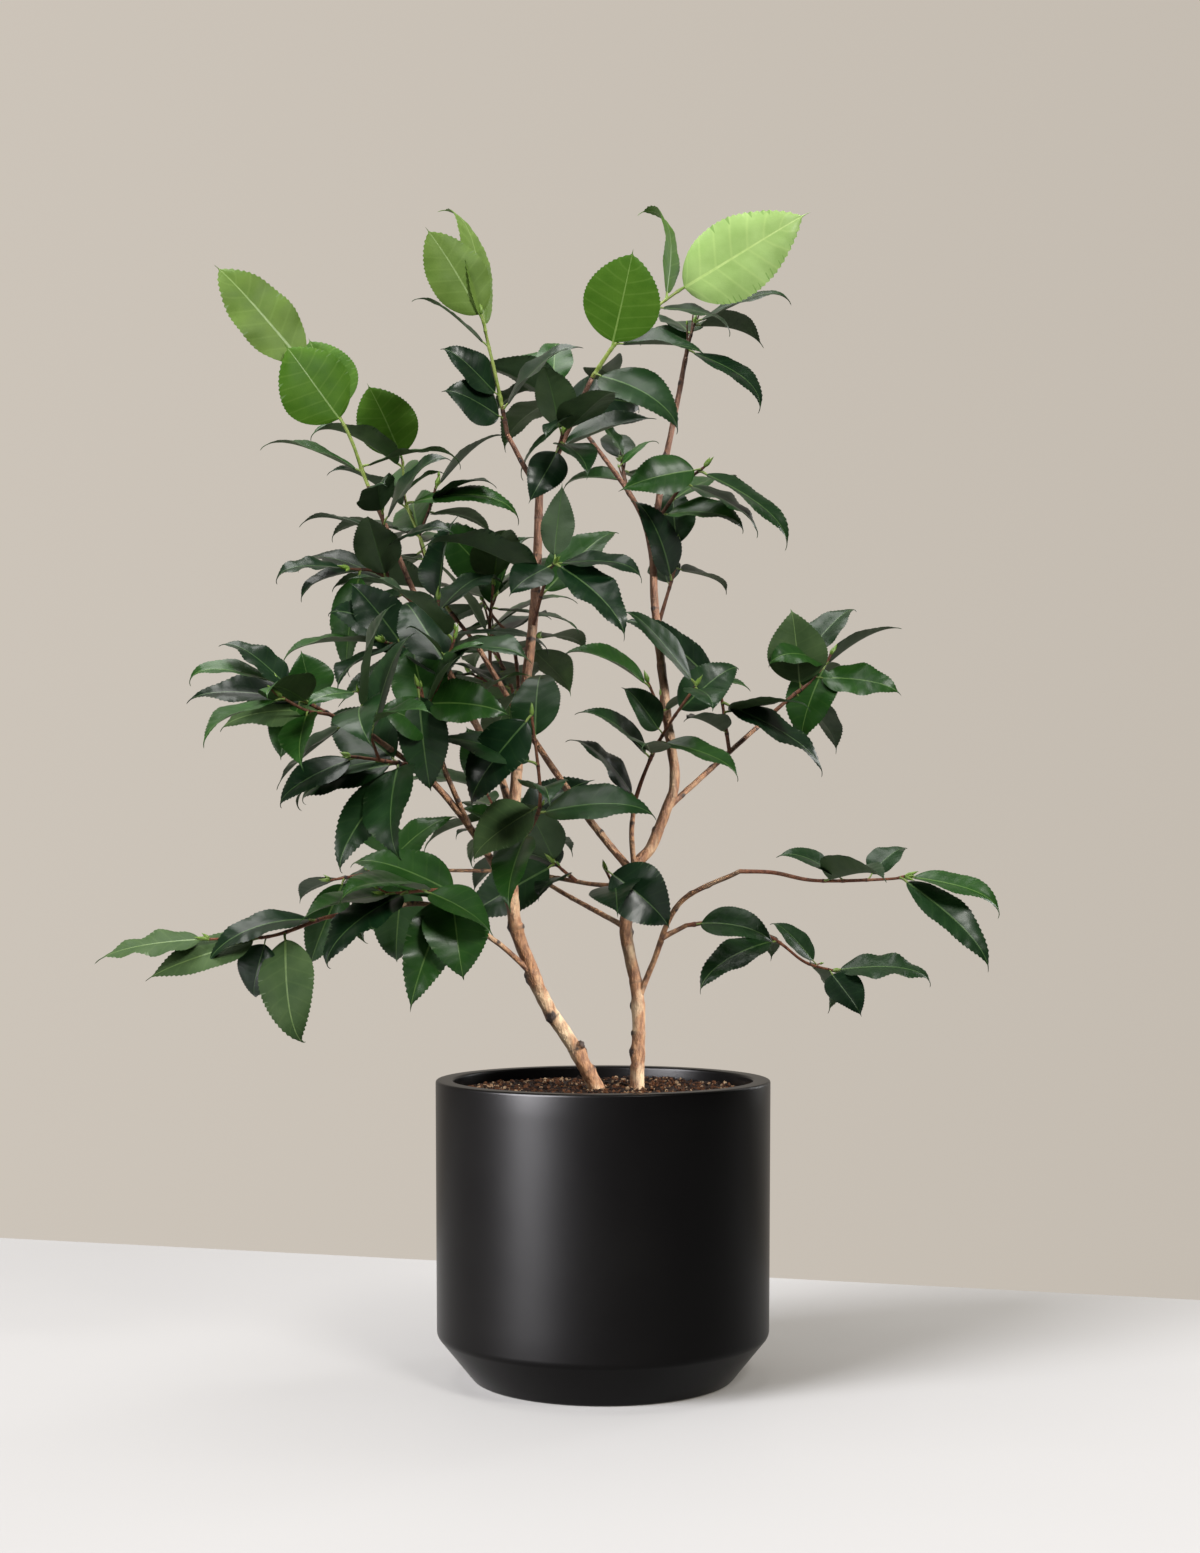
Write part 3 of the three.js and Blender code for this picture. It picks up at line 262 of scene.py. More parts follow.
# first * (1 - share) + second * share, where each of the two is a colour or a socket.
def mixColours(tree, share, first, second):
    mix = tree.nodes.new("ShaderNodeMix")
    mix.data_type = "RGBA"
    tree.links.new(share, mix.inputs["Factor"])
    for socket, colour in ((6, first), (7, second)):       # the colour sockets A and B
        if isinstance(colour, tuple):
            mix.inputs[socket].default_value = (*colour, 1)
        else:
            tree.links.new(colour, mix.inputs[socket])
    return mix.outputs[2]


# One step of arithmetic on numbers or sockets.
def calculate(tree, task, *values):
    step = tree.nodes.new("ShaderNodeMath")
    step.operation = task
    for socket, value in enumerate(values):
        if isinstance(value, (int, float)):
            step.inputs[socket].default_value = value
        else:
            tree.links.new(value, step.inputs[socket])
    return step.outputs[0]


# How far a value has come from low to high, as (value - low) / (high - low), kept to 0 to 1.
def spreadOut(tree, value, span):
    spread = tree.nodes.new("ShaderNodeMapRange")
    spread.inputs["From Min"].default_value, spread.inputs["From Max"].default_value = span
    tree.links.new(value, spread.inputs["Value"])
    return spread.outputs["Result"]


# The roughness runs from low to high as the value runs from 0 to 1.
def roughen(tree, shader, value, low, high):
    spread = tree.nodes.new("ShaderNodeMapRange")
    spread.inputs["To Min"].default_value = low
    spread.inputs["To Max"].default_value = high
    tree.links.new(value, spread.inputs["Value"])
    tree.links.new(spread.outputs["Result"], shader.inputs["Roughness"])


# The value raises the surface by up to the distance, in metres.
def emboss(tree, shader, value, strength, distance):
    bump = tree.nodes.new("ShaderNodeBump")
    bump.inputs["Strength"].default_value = strength
    bump.inputs["Distance"].default_value = distance
    tree.links.new(value, bump.inputs["Height"])
    tree.links.new(bump.outputs["Normal"], shader.inputs["Normal"])


placeCamera()
paintWall()
for name in ("window", "front", "ceiling", "edge"):
    placeLight(name)
bpy.context.scene.view_settings.view_transform = "Standard"
print("camera and lights placed")


# Table top: a flat sheet whose far edge slants away behind the pot

# Table: an even pale tone with faint clouds and a little glow of its own
def tableFinish():
    finish, tree, shader = newFinish("pale_table", table["colour"], table["roughness"])
    soft = grain(tree, 2.5, 2)
    lighter = tuple(min(1, c * table["cloud"]) for c in table["colour"])
    tree.links.new(twoTones(tree, soft, (table["colour"], lighter)), shader.inputs["Base Color"])
    shader.inputs["Emission Color"].default_value = (*table["glow"], 1)
    shader.inputs["Emission Strength"].default_value = 1.0
    shader.inputs["Specular IOR Level"].default_value = table["shine"]
    return finish


# One flat face through the table's corners.
def layTable():
    mesh = bpy.data.meshes.new("table_top")
    corners = [(x, y, 0.0) for x, y in table["corners"]]
    mesh.from_pydata(corners, [], [tuple(range(len(corners)))])
    mesh.materials.append(tableFinish())
    top = bpy.data.objects.new("table_top", mesh)
    bpy.context.scene.collection.objects.link(top)
    top.visible_diffuse = False        # the floor shows in the gloss and adds no light from below
    placeDay("day", [top])


layTable()
print("table laid")


# Growth: the limbs, and the shoots that carry the leaves, as the solids have them

# Through points in millimetres. A limb or shoot starts on its parent at the share `at` of its length.
limbs = {
    "left_stem": {
        "radii": (5.7, 3), "flare": 1.1, "room": 7.2,
        "through": [(-2, 15, 217), (-24, 8, 252), (-41, 2, 278), (-54, -5, 308), (-68, -15, 358),
                    (-65, -12, 460), (-52, -5, 585), (-48, -5, 677)],
    },
    "right_stem": {
        "radii": (5.3, 1.9), "flare": 1.08, "room": 6.2,
        "through": [(26, 15, 217), (27, 20, 284), (17.5, 25, 339), (24, 29, 384), (37, 33, 402),
                    (49, 38, 431), (56, 42, 457), (49, 48, 517), (40, 52, 640), (65, 55, 788)],
    },
    "low_left": {
        "on": "left_stem", "at": 0.215, "radii": (2.1, 1.7), "room": 2.6,
        "through": [(-81, -25, 331), (-125, -50, 358), (-176, -75, 353)],
    },
    "mid_left": {
        "on": "left_stem", "at": 0.307, "radii": (3.2, 1.9), "room": 3.8,
        "through": [(-81, -30, 387), (-121, -60, 444), (-170, -80, 483)],
    },
    "upright_left": {
        "on": "mid_left", "at": 0.45, "radii": (2.2, 1.7),
        "through": [(-114, -65, 453), (-120, -75, 473)],
    },
    "high_left": {
        "on": "left_stem", "at": 0.46, "radii": (3, 1.9), "room": 3.4,
        "through": [(-82, 10, 465), (-123, 35, 546), (-170, 40, 654)],
    },
    "centre_left": {
        "on": "left_stem", "at": 0.985, "radii": (2.2, 1.7),
        "through": [(-60, -10, 690), (-72, -15, 712)],
    },
    "centre_right": {
        "on": "left_stem", "at": 0.985, "radii": (2.5, 1.8), "through": [(-9, -6, 756)],
    },
    "crossing": {
        "on": "right_stem", "at": 0.285, "radii": (3.1, 2), "room": 3.6,
        "through": [(-12, 45, 426), (-57, 75, 492), (-102, 95, 567)],
    },
    "low_crossing": {
        "on": "right_stem", "at": 0.275, "radii": (1.9, 1.4),
        "through": [(-2, 45, 373), (-66, 75, 383), (-132, 90, 385)],
    },
    "low_back": {
        "on": "right_stem", "at": 0.213, "radii": (2.2, 1.6),
        "through": [(-34, 90, 368), (-64, 120, 387)],
    },
    "middle": {
        "on": "right_stem", "at": 0.29, "radii": (2.2, 1.8),
        "through": [(22, 16, 412), (24, 10, 436)],
    },
    "mid_right": {
        "on": "right_stem", "at": 0.385, "radii": (2.4, 1.7), "through": [(134, 85, 509)],
    },
    "low_right": {
        "on": "right_stem", "at": 0.116, "radii": (2.4, 1.7), "room": 2.8,
        "through": [(38, 15, 312), (58, -5, 359), (102, -25, 383)],
    },
    "lowest_right": {
        "on": "low_right", "at": 0.38, "radii": (2, 1.7), "room": 2, "through": [(64, 15, 342)],
    },
    "upper_middle": {
        "on": "right_stem", "at": 0.72, "radii": (2.3, 1.6),
        "through": [(27, 65, 673), (-18, 85, 741)],
    },
}
# A leaf given one by one: its share of the shoot, its aim, the way its upper face looks, its length and
# width, the arch and curl of its midrib in degrees, and its age.
shoots = {
    "low_left_tip": {
        "on": "low_left", "through": [(-200, -85, 349), (-238, -95, 336), (-280, -105, 334)],
        "leaves": 1, "twigs": 0, "leaf": 84, "droop": 0.3, "seed": 4, "fallen": (0,),
        "posed": [
            (1, (-90, -19, -3), (-0.1, -0.6, 0.8), 78, 30, (16, 20), "mid"),
            (0.67, (-90, -31, -27), (0.15, -0.75, 0.65), 83, 30, (14, 24), "mid"),
            (0.29, (-90, -51, 7), (0.1, -0.45, 0.9), 89, 28, (52, 30), "old"),
            (0.51, (5, -43, -90), (-0.35, -1, 0.1), 84, 42, (10, 60), "mid"),
            (0.63, (-30, 2, -90), (-0.2, -1, 0.3), 44, 32, (10, 40), "old"),
        ],
    },
    "low_left_inner": {
        "on": "low_left", "at": 0.45, "through": [(-110, -62, 368), (-158, -82, 366)], "leaves": 3,
        "twigs": 0, "leaf": 82, "droop": 0.9, "seed": 15,
        "posed": [
            (0.8, (-90, -85, -44), (-0.3, -0.7, 0.6), 89, 38, (30, 60), "old"),
            (0.4, (-40, -42, -90), (-0.1, -1, 0.2), 91, 36, (20, 30), "old"),
            (0.41, (12, -53, -90), (0, -1, 0.25), 66, 48, (16, 44), "old"),
            (0.66, (87, -48, -31), (0, -0.6, 0.8), 60, 36, (25, 35), "old"),
        ],
    },
    "low_crossing_tip": {
        "on": "low_crossing", "through": [(-176, 95, 384), (-220, 100, 377)], "leaves": 6, "twigs": 0,
        "leaf": 66, "droop": 0.3, "seed": 31, "fallen": (3, 5),
        "posed": [
            (0.32, (-13, 6, -97), (0, -1, 0.3), 80, 43, (25, 37), "old"),
            (0.86, (-39, -22, -89), (0.2, -0.8, 0.5), 78, 31, (30, 47), "old"),
            (0.53, (56, -32, 62), (0, -0.75, 0.65), 76, 34, (27, 44), "old"),
        ],
    },
    "low_crossing_inner": {
        "on": "low_crossing", "at": 0.3, "through": [(-38, 50, 390)], "leaves": 3, "twigs": 0,
        "leaf": 58, "droop": 0.5, "seed": 30,
        "posed": [
            (0.95, (-82, 3, -44), (0.3, -0.9, 0.2), 83, 39, (20, 31), "old"),
        ],
    },
    "mid_left_tip": {
        "on": "mid_left", "through": [(-202, -90, 498), (-233, -100, 517)], "leaves": 5, "twigs": 1,
        "leaf": 74, "droop": 0.4, "seed": 28, "fallen": (5, 6),
        "posed": [
            (0.45, (-90, -49, 6), (0.1, -0.75, 0.65), 76, 36, (30, 26), "mid"),
            (0.62, (-90, -8, 22), (0, -0.6, 0.8), 88, 32, (22, 20), "old"),
            (1, (-90, -16, 28), (0, -0.35, 0.95), 64, 24, (16, 70), "old"),
            (0.71, (-32, -59, -90), (-0.1, -0.9, 0.4), 46, 32, (20, 40), "old"),
            (0.55, (-25, -33, 90), (0.1, -1, 0.25), 37, 36, (8, 16), "old"),
        ],
    },
    "mid_left_inner": {
        "on": "mid_left", "at": 0.78, "through": [(-160, -92, 462), (-180, -105, 464)], "leaves": 4,
        "twigs": 1, "leaf": 80, "droop": 0.7, "seed": 24, "fallen": (2, 3),
        "posed": [
            (0.15, (-71, -60, -90), (-0.3, -0.8, 0.5), 95, 34, (18, 40), "old"),
            (0.9, (-90, -40, -36), (-0.1, -0.65, 0.75), 65, 32, (20, 34), "old"),
            (0.26, (-65, 38, 54), (-0.2, -0.8, 0.5), 79, 42, (11, 27), "old"),
            (0.28, (-90, 1, -16), (0.2, -0.8, 0.5), 83, 29, (20, 50), "old"),
        ],
    },
    "upright_left_tip": {
        "on": "upright_left", "through": [(-126, -82, 495), (-133, -90, 515)], "leaves": 5,
        "twigs": 1, "leaf": 80, "droop": 0.3, "seed": 7,
        "posed": [
            (0.2, (-89, -90, 65), (-0.1, -0.85, 0.5), 45, 34, (22, 34), "old"),
            (0.97, (7, -6, -98), (0, -0.75, 0.65), 74, 36, (18, 34), "old"),
            (0.7, (89, -72, 2), (0, -1, 0.3), 69, 33, (27, 38), "old"),
        ],
    },
    "high_left_low": {
        "on": "high_left", "at": 0.42, "through": [(-135, 10, 548), (-165, -15, 556)], "leaves": 6,
        "twigs": 1, "leaf": 82, "droop": 0.4, "seed": 17,
        "posed": [
            (0.55, (-90, -61, 61), (-0.1, -0.8, 0.6), 84, 40, (20, 50), "old"),
            (0.8, (-62, -37, 90), (0, -1, 0.3), 59, 36, (14, 20), "old"),
        ],
    },
    "high_left_side": {
        "on": "high_left", "at": 0.72, "through": [(-172, 25, 613), (-194, 5, 614)], "leaves": 4,
        "twigs": 1, "leaf": 72, "droop": 0.4, "seed": 19, "fallen": (2, 3),
        "posed": [
            (1, (-90, -28, 9), (0, -0.4, 0.95), 57, 26, (18, 66), "old"),
            (0.8, (-90, -38, -19), (-0.1, -0.35, 0.95), 54, 24, (20, 60), "old"),
            (0.84, (-22, -2, -95), (0, -0.35, 1), 81, 39, (23, 21), "old"),
            (0.46, (-75, 27, 41), (0, -0.35, 1), 87, 28, (14, 55), "old"),
        ],
    },
    "high_left_tip": {
        "on": "high_left",
        "through": [(-185, 40, 689), (-197, 36, 722), (-214, 34, 752), (-230, 34, 775)], "leaves": 1,
        "twigs": 0, "leaf": 76, "droop": 0.3, "span": (0.05, 0.4), "seed": 13, "fallen": (0,),
        "posed": [
            (1, (-76, -25, 90), (0.15, -1, 0.3), 101, 46, (10, 18), "young"),
            (0.61, (-68, -35, 90), (0.2, -1, 0.25), 70, 60, (8, 10), "young"),
            (0.67, (-31, 17, 90), (-0.1, -1, 0.35), 68, 50, (8, 10), "young"),
            (0.32, (-90, -25, 43), (0.1, -0.35, 0.95), 80, 28, (10, 50), "old"),
            (0.35, (90, -21, 31), (-0.1, -0.3, 0.95), 83, 28, (20, 60), "old"),
        ],
    },
    "crossing_tip": {
        "on": "crossing",
        "through": [(-134, 100, 610), (-146, 105, 649), (-160, 105, 685), (-162, 105, 716)],
        "leaves": 7, "twigs": 2, "leaf": 78, "droop": 0.35, "seed": 9, "fallen": (13,),
        "posed": [
            (1, (-34, -20, 90), (-0.1, -1, 0.25), 63, 48, (8, 8), "young"),
            (0.79, (90, -41, 19), (0.1, -0.55, 0.85), 104, 30, (30, 50), "old"),
        ],
    },
    "crossing_side": {
        "on": "crossing", "at": 0.9, "through": [(-92, 112, 590), (-88, 122, 618)], "leaves": 6,
        "twigs": 1, "leaf": 76, "droop": 0.35, "seed": 14,
        "posed": [
            (1, (-54, -60, 64), (-0.2, -0.8, 0.5), 73, 42, (13, 22), "old"),
        ],
    },
    "centre_left_tip": {
        "on": "centre_left", "through": [(-80, -20, 752), (-86, -22, 778), (-91, -25, 800)],
        "leaves": 3, "twigs": 0, "leaf": 74, "droop": 0.35, "span": (0.05, 0.75), "seed": 19,
        "fallen": (1, 2),
        "posed": [
            (0.94, (-48, -20, 90), (0.1, -1, 0.2), 75, 44, (6, 6), "young"),
            (0.86, (-9, 16, 90), (0.75, -0.35, 0.5), 118, 38, (6, 75), "young"),
            (0.72, (-90, -19, 85), (-0.1, -0.3, 0.95), 65, 26, (8, 46), "old"),
            (0.3, (-90, -59, 88), (0.2, -0.75, 0.65), 54, 32, (10, 34), "old"),
            (0.12, (-90, -78, 50), (0.1, -0.85, 0.5), 51, 38, (14, 30), "old"),
        ],
    },
    "centre_right_tip": {
        "on": "centre_right", "through": [(11, -6, 785), (36, 4, 810), (57, 10, 827)], "leaves": 3,
        "twigs": 0, "leaf": 72, "droop": 0.35, "span": (0.05, 0.35), "seed": 2, "fallen": (1,),
        "posed": [
            (0.27, (23, -20, 90), (0.05, -1, 0.15), 70, 58, (4, 8), "young"),
            (1, (90, -19, 49), (-0.1, -1, 0.1), 111, 62, (4, 10), "young"),
            (0.88, (14, 15, 90), (0.75, -0.2, 0.6), 88, 32, (10, 130), "young"),
            (0.77, (90, 5, 1), (-0.2, -0.5, 0.85), 63, 28, (20, 60), "old"),
            (0.04, (90, -64, -34), (-0.05, -0.75, 0.7), 87, 44, (30, 44), "old"),
        ],
    },
    "centre_right_side": {
        "on": "centre_right", "at": 0.35, "through": [(-30, -25, 712)], "leaves": 4, "twigs": 0,
        "leaf": 74, "droop": 0.35, "seed": 5,
        "posed": [
            (0.31, (-37, -61, -90), (0.2, -0.8, 0.5), 51, 29, (9, 57), "old"),
        ],
    },
    "upper_middle_tip": {
        "on": "upper_middle", "through": [(-28, 88, 754), (-47, 95, 780)], "leaves": 7, "twigs": 0,
        "leaf": 72, "droop": 0.35, "seed": 1,
        "posed": [
            (0.53, (88, 13, 11), (0.2, -0.8, 0.5), 71, 42, (21, 48), "old"),
        ],
    },
    "upper_middle_side": {
        "on": "upper_middle", "at": 0.5, "through": [(15, 95, 715)], "leaves": 3, "twigs": 0,
        "leaf": 66, "droop": 0.4, "seed": 39,
    },
    "right_lead_tip": {
        "on": "right_stem", "through": [(68, 54, 801), (72, 55, 815)], "leaves": 3, "twigs": 0,
        "leaf": 68, "droop": 0.35, "seed": 20,
        "posed": [
            (1, (90, -19, 37), (-0.1, -0.4, 0.9), 78, 28, (-4, 90), "old"),
            (0.2, (90, -38, -44), (-0.1, -0.35, 0.95), 81, 28, (10, 80), "old"),
        ],
    },
    "right_lead_mid": {
        "on": "right_stem", "at": 0.775, "through": [(62, 30, 683), (78, 15, 694)], "leaves": 3,
        "twigs": 0, "leaf": 78, "droop": 0.35, "seed": 14, "fallen": (2,),
        "posed": [
            (0.1, (90, -54, 6), (0, -0.6, 0.8), 71, 36, (26, 60), "old"),
            (0.9, (90, -13, -42), (0, -0.45, 0.9), 92, 28, (20, 50), "old"),
            (0.94, (-90, -35, -17), (0, -1, 0.3), 63, 34, (20, 22), "old"),
        ],
    },
    "right_lead_side": {
        "on": "right_stem", "at": 0.63, "through": [(56, 60, 620), (60, 62, 640)], "leaves": 4,
        "twigs": 0, "leaf": 58, "droop": 0.5, "seed": 20, "fallen": (0,),
        "posed": [
            (0.59, (-18, -72, 80), (0.3, -0.9, 0.2), 75, 29, (30, 56), "old"),
        ],
    },
    "right_stem_leaf": {
        "on": "right_stem", "at": 0.49, "through": [(35, 30, 530)], "leaves": 2, "twigs": 0,
        "leaf": 72, "droop": 0.3, "seed": 6,
        "posed": [
            (0.9, (-90, -59, 68), (-0.1, -0.6, 0.8), 79, 34, (24, 40), "old"),
        ],
    },
    "centre_front": {
        "on": "left_stem", "at": 0.77, "through": [(-42, -30, 603), (-36, -48, 610)], "leaves": 1,
        "twigs": 0, "leaf": 86, "droop": 0.45, "seed": 4,
        "posed": [
            (1, (6, 2, 90), (0.3, 0.85, 0.1), 54, 25, (4, 8), "old"),
            (0.98, (90, -22, 7), (0, -0.4, 0.95), 68, 28, (14, 66), "old"),
            (1, (90, -65, -61), (0.3, -0.8, 0.6), 84, 36, (22, 30), "old"),
            (0.96, (-90, -88, -56), (-0.3, -0.8, 0.5), 43, 32, (16, 34), "old"),
            (0.42, (56, -2, 63), (0, -0.75, 0.65), 81, 39, (23, 44), "old"),
        ],
    },
    "middle_tip": {
        "on": "middle", "through": [(30, 2, 454), (40, -10, 477), (52, -22, 497), (69, -34, 521)],
        "leaves": 2, "twigs": 0, "leaf": 68, "droop": 0.2, "seed": 27, "fallen": (1,),
        "posed": [
            (0.02, (-53, -45, 90), (-0.15, -0.55, 0.85), 71, 32, (30, 30), "old"),
            (0.35, (-73, -53, 90), (-0.15, -0.55, 0.85), 68, 32, (30, 40), "old"),
            (0.56, (-63, -46, 90), (-0.3, -0.6, 0.75), 44, 30, (14, 40), "old"),
            (0.5, (90, -47, -18), (0.1, -0.6, 0.85), 69, 28, (26, 50), "old"),
            (1, (-71, -50, 90), (0.45, -0.5, 0.75), 78, 36, (8, 16), "old"),
            (0.98, (33, -90, -19), (0.3, -0.8, 0.5), 38, 32, (20, 60), "old"),
            (0.74, (59, 4, 60), (-0.3, -0.9, 0.2), 63, 33, (11, 57), "old"),
        ],
    },
    "mid_right_tip": {
        "on": "mid_right", "through": [(152, 95, 525), (172, 104, 541), (186, 110, 560)], "leaves": 2,
        "twigs": 1, "leaf": 72, "droop": 0.35, "seed": 31, "fallen": (2,),
        "posed": [
            (0.46, (-8, -18, 90), (0.05, -1, 0.15), 62, 48, (6, 10), "mid"),
            (0.68, (90, -44, -2), (0, -0.7, 0.7), 69, 34, (24, 30), "old"),
            (0.87, (-86, -90, 40), (0.2, -0.6, 0.8), 58, 30, (40, 70), "old"),
            (0.89, (-44, -40, -87), (0, -0.6, 0.8), 70, 42, (11, 46), "old"),
        ],
    },
    "mid_right_inner": {
        "on": "mid_right", "at": 0.6, "through": [(92, 45, 525)], "leaves": 3, "twigs": 0, "leaf": 70,
        "droop": 0.35, "seed": 27, "fallen": (2,),
        "posed": [
            (1, (-67, -20, 70), (0.5, -0.7, 0.5), 98, 34, (20, 35), "old"),
            (0.8, (80, -25, -35), (0.3, -0.6, 0.75), 98, 36, (20, 35), "old"),
        ],
    },
    "low_right_tip": {
        "on": "low_right",
        "through": [(127, -32, 382), (158, -40, 376), (208, -55, 377), (221, -60, 379)], "leaves": 4,
        "twigs": 0, "leaf": 78, "droop": 0.2, "seed": 24, "fallen": (0, 2, 3),
        "posed": [
            (1, (90, -28, -12), (0.1, -0.45, 0.9), 76, 26, (14, 62), "old"),
            (0.97, (90, -46, -67), (0.4, -0.75, 0.55), 93, 30, (14, 40), "old"),
            (0.77, (74, 13, 90), (-0.2, -0.7, 0.7), 38, 26, (28, 30), "old"),
            (0.63, (-90, -29, 68), (0.1, -0.45, 0.9), 51, 26, (24, 50), "old"),
        ],
    },
    "lowest_right_tip": {
        "on": "lowest_right",
        "through": [(91, 30, 344), (123, 45, 336), (140, 55, 327), (160, 65, 312), (183, 75, 305)],
        "leaves": 2, "twigs": 0, "leaf": 70, "droop": 0.1, "seed": 39,
        "posed": [
            (0.05, (90, -51, 10), (0.05, -0.75, 0.65), 65, 32, (46, 30), "old"),
            (0.59, (-90, -56, -20), (-0.1, -0.6, 0.8), 80, 28, (28, 62), "old"),
            (1, (90, -32, 14), (0.1, -0.6, 0.8), 82, 32, (22, 66), "old"),
            (0.97, (64, -78, -90), (0.1, -1, 0.3), 44, 30, (14, 30), "old"),
            (0.9, (-68, 14, 90), (0.4, -0.6, 0.75), 48, 24, (10, 30), "old"),
        ],
    },
    "front_leaf": {
        "on": "right_stem", "at": 0.235, "through": [(2, -16, 384)], "leaves": 1, "twigs": 0,
        "leaf": 70, "droop": 0.3, "seed": 16,
        "posed": [
            (1, (51, -14, -34), (0.1, -1, 0.35), 62, 44, (20, 35), "old"),
        ],
    },
    "low_back_tip": {
        "on": "low_back", "through": [(-70, 150, 405), (-75, 180, 425)], "leaves": 7, "twigs": 1,
        "leaf": 72, "droop": 0.35, "seed": 41,
        "posed": [
            (0.93, (66, -54, 53), (-0.3, -0.9, 0.2), 80, 37, (21, 41), "old"),
        ],
    },
    "left_stem_front": {
        "on": "left_stem", "at": 0.42, "through": [(-52, -40, 418), (-46, -62, 440), (-52, -68, 496)],
        "leaves": 6, "twigs": 0, "leaf": 82, "droop": 0.6, "seed": 2, "fallen": (5,),
        "posed": [
            (0.45, (-50, -12, -28), (-0.2, -0.9, 0.5), 62, 44, (20, 35), "mid"),
            (1, (-47, -12, -52), (-0.3, -0.9, 0.45), 80, 46, (20, 35), "old"),
        ],
    },
    "left_stem_back": {
        "on": "left_stem", "at": 0.62, "through": [(-70, 50, 560), (-88, 110, 590), (-100, 150, 610)],
        "leaves": 8, "twigs": 2, "leaf": 76, "droop": 0.4, "seed": 5, "fallen": (4, 6),
    },
    "crossing_back": {
        "on": "crossing", "at": 0.7, "through": [(-78, 130, 545), (-95, 180, 575)], "leaves": 8,
        "twigs": 2, "leaf": 76, "droop": 0.4, "seed": 28,
    },
}
# How the shoots grow: lengths in millimetres, turns in degrees.
rule = {
    "golden": math.radians(137.5),
    "insertion": (72, 45, 10),         # at the foot of a shoot, less towards its tip, and either way
    "crowding": 1.25,                  # power that draws leaves towards the tip
    "outwardPull": 0.35,
    "outwardReach": 80.0,              # from the upright axis out to where the pull is full
    "droop": (-0.1, 1.1),
    "length": (0.78, 1.15),
    "width": (0.48, 0.58),
    "petiole": (5, 8),
    "arch": (2, 34),
    "curl": (15, 60),
    "fold": (8, 20),
    "shape": (0.7, 1.2),               # powers of the outline towards foot and tip
    "facing": (0.85, 0.25, 0.45),      # how far a leaf looks up, outwards and to the light
    "axis": (0.0, 20.0, 0.0),
    "light": (-0.3, -0.75, 0.6),
    "leafGap": 3.6,
    "mateGap": 2.2,
    "limbGap": 4.0,
    "shootSpan": (0.12, 1.0),
    "twigSpan": (0.35, 1.0),
    "twigLeaves": 4,
    "twigLength": (38, 58),
    "twigRadii": ((1.7, 1.0), (1.3, 0.9)),
    "tries": 5,
    "nextTry": 0.9,
}
posedLeaves = {
    "grown": {"petiole": 6, "fold": 12, "shape": (0.7, 1.1)},
    "young": {"petiole": 6, "fold": 6, "shape": (0.62, 0.8)},
}


# A direction drawn to a length of one.
def unit(vector):
    return vector / math.sqrt(float(vector @ vector))


# A small seeded generator that gives the same draws here as in the part's source.
def makeRandom(seed):
    state = seed & 0xFFFFFFFF

    def draw(low=0.0, high=1.0):
        nonlocal state
        state = (state + 0x6D2B79F5) & 0xFFFFFFFF
        t = ((state ^ (state >> 15)) * (state | 1)) & 0xFFFFFFFF
        t = t ^ ((t + (((t ^ (t >> 7)) * (t | 61)) & 0xFFFFFFFF)) & 0xFFFFFFFF)
        return low + (high - low) * ((t ^ (t >> 14)) / 4294967296)
    return draw


# A smooth curve through the points: each span is the cubic whose ends lean along their neighbours.
def curveThrough(points, perSpan):
    p = np.array(points, float)
    p = np.vstack([2 * p[0] - p[1], p, 2 * p[-1] - p[-2]])
    a, b, c, d = (p[k:len(p) - 3 + k, None, :] for k in range(4))
    t = (np.arange(perSpan) / perSpan)[None, :, None]
    square, cube = 2 * a - 5 * b + 4 * c - d, 3 * b - a - 3 * c + d
    spans = 0.5 * (2 * b + (c - a) * t + square * t**2 + cube * t**3)
    return np.vstack([spans.reshape(-1, 3), p[-2]])


# The point and the direction at a share of a curve's length, and that length.
def alongCurve(curve, share):
    steps = np.diff(curve, axis=0)
    lengths = np.sqrt((steps**2).sum(1))
    ends = np.cumsum(lengths)
    want = min(max(share, 0.0), 1.0) * ends[-1]
    i = min(int(np.searchsorted(ends, want)), len(steps) - 1)
    start = ends[i] - lengths[i]
    return curve[i] + steps[i] * ((want - start) / lengths[i]), unit(steps[i]), ends[-1]


# Points over a leaf, used to keep leaves apart: the midrib turns down by arch * s + curl * s^4,
# and the half width is s^a (1 - s)^b, scaled to the leaf's width.
def leafPoints(leaf, first=2):
    rows = 9
    s = (np.arange(rows) + 0.5) / rows
    turn = leaf["arch"] * s + leaf["curl"] * s**4
    steps = np.outer(np.cos(turn), leaf["direction"]) - np.outer(np.sin(turn), leaf["normal"])
    start = leaf["root"] + leaf["direction"] * leaf["petiole"]
    midrib = np.vstack([start, start + np.cumsum(steps, axis=0) * leaf["length"] / rows])
    s = np.linspace(0, 1, rows + 1)
    turn = leaf["arch"] * s + leaf["curl"] * s**4
    faces = np.outer(np.cos(turn), leaf["normal"]) + np.outer(np.sin(turn), leaf["direction"])
    a, b = leaf["shape"]
    peak = a / (a + b)
    half = 0.5 * leaf["width"] * (s**a * (1 - s)**b) / (peak**a * (1 - peak)**b)
    side = np.cross(leaf["direction"], leaf["normal"])
    across = np.array([-0.9, -0.45, 0, 0.45, 0.9])[:, None, None]
    reach = across * half[None, :, None]
    points = midrib[None] + side * reach + faces[None] * np.abs(reach) * math.tan(leaf["fold"])
    return points[:, first:].reshape(-1, 3)


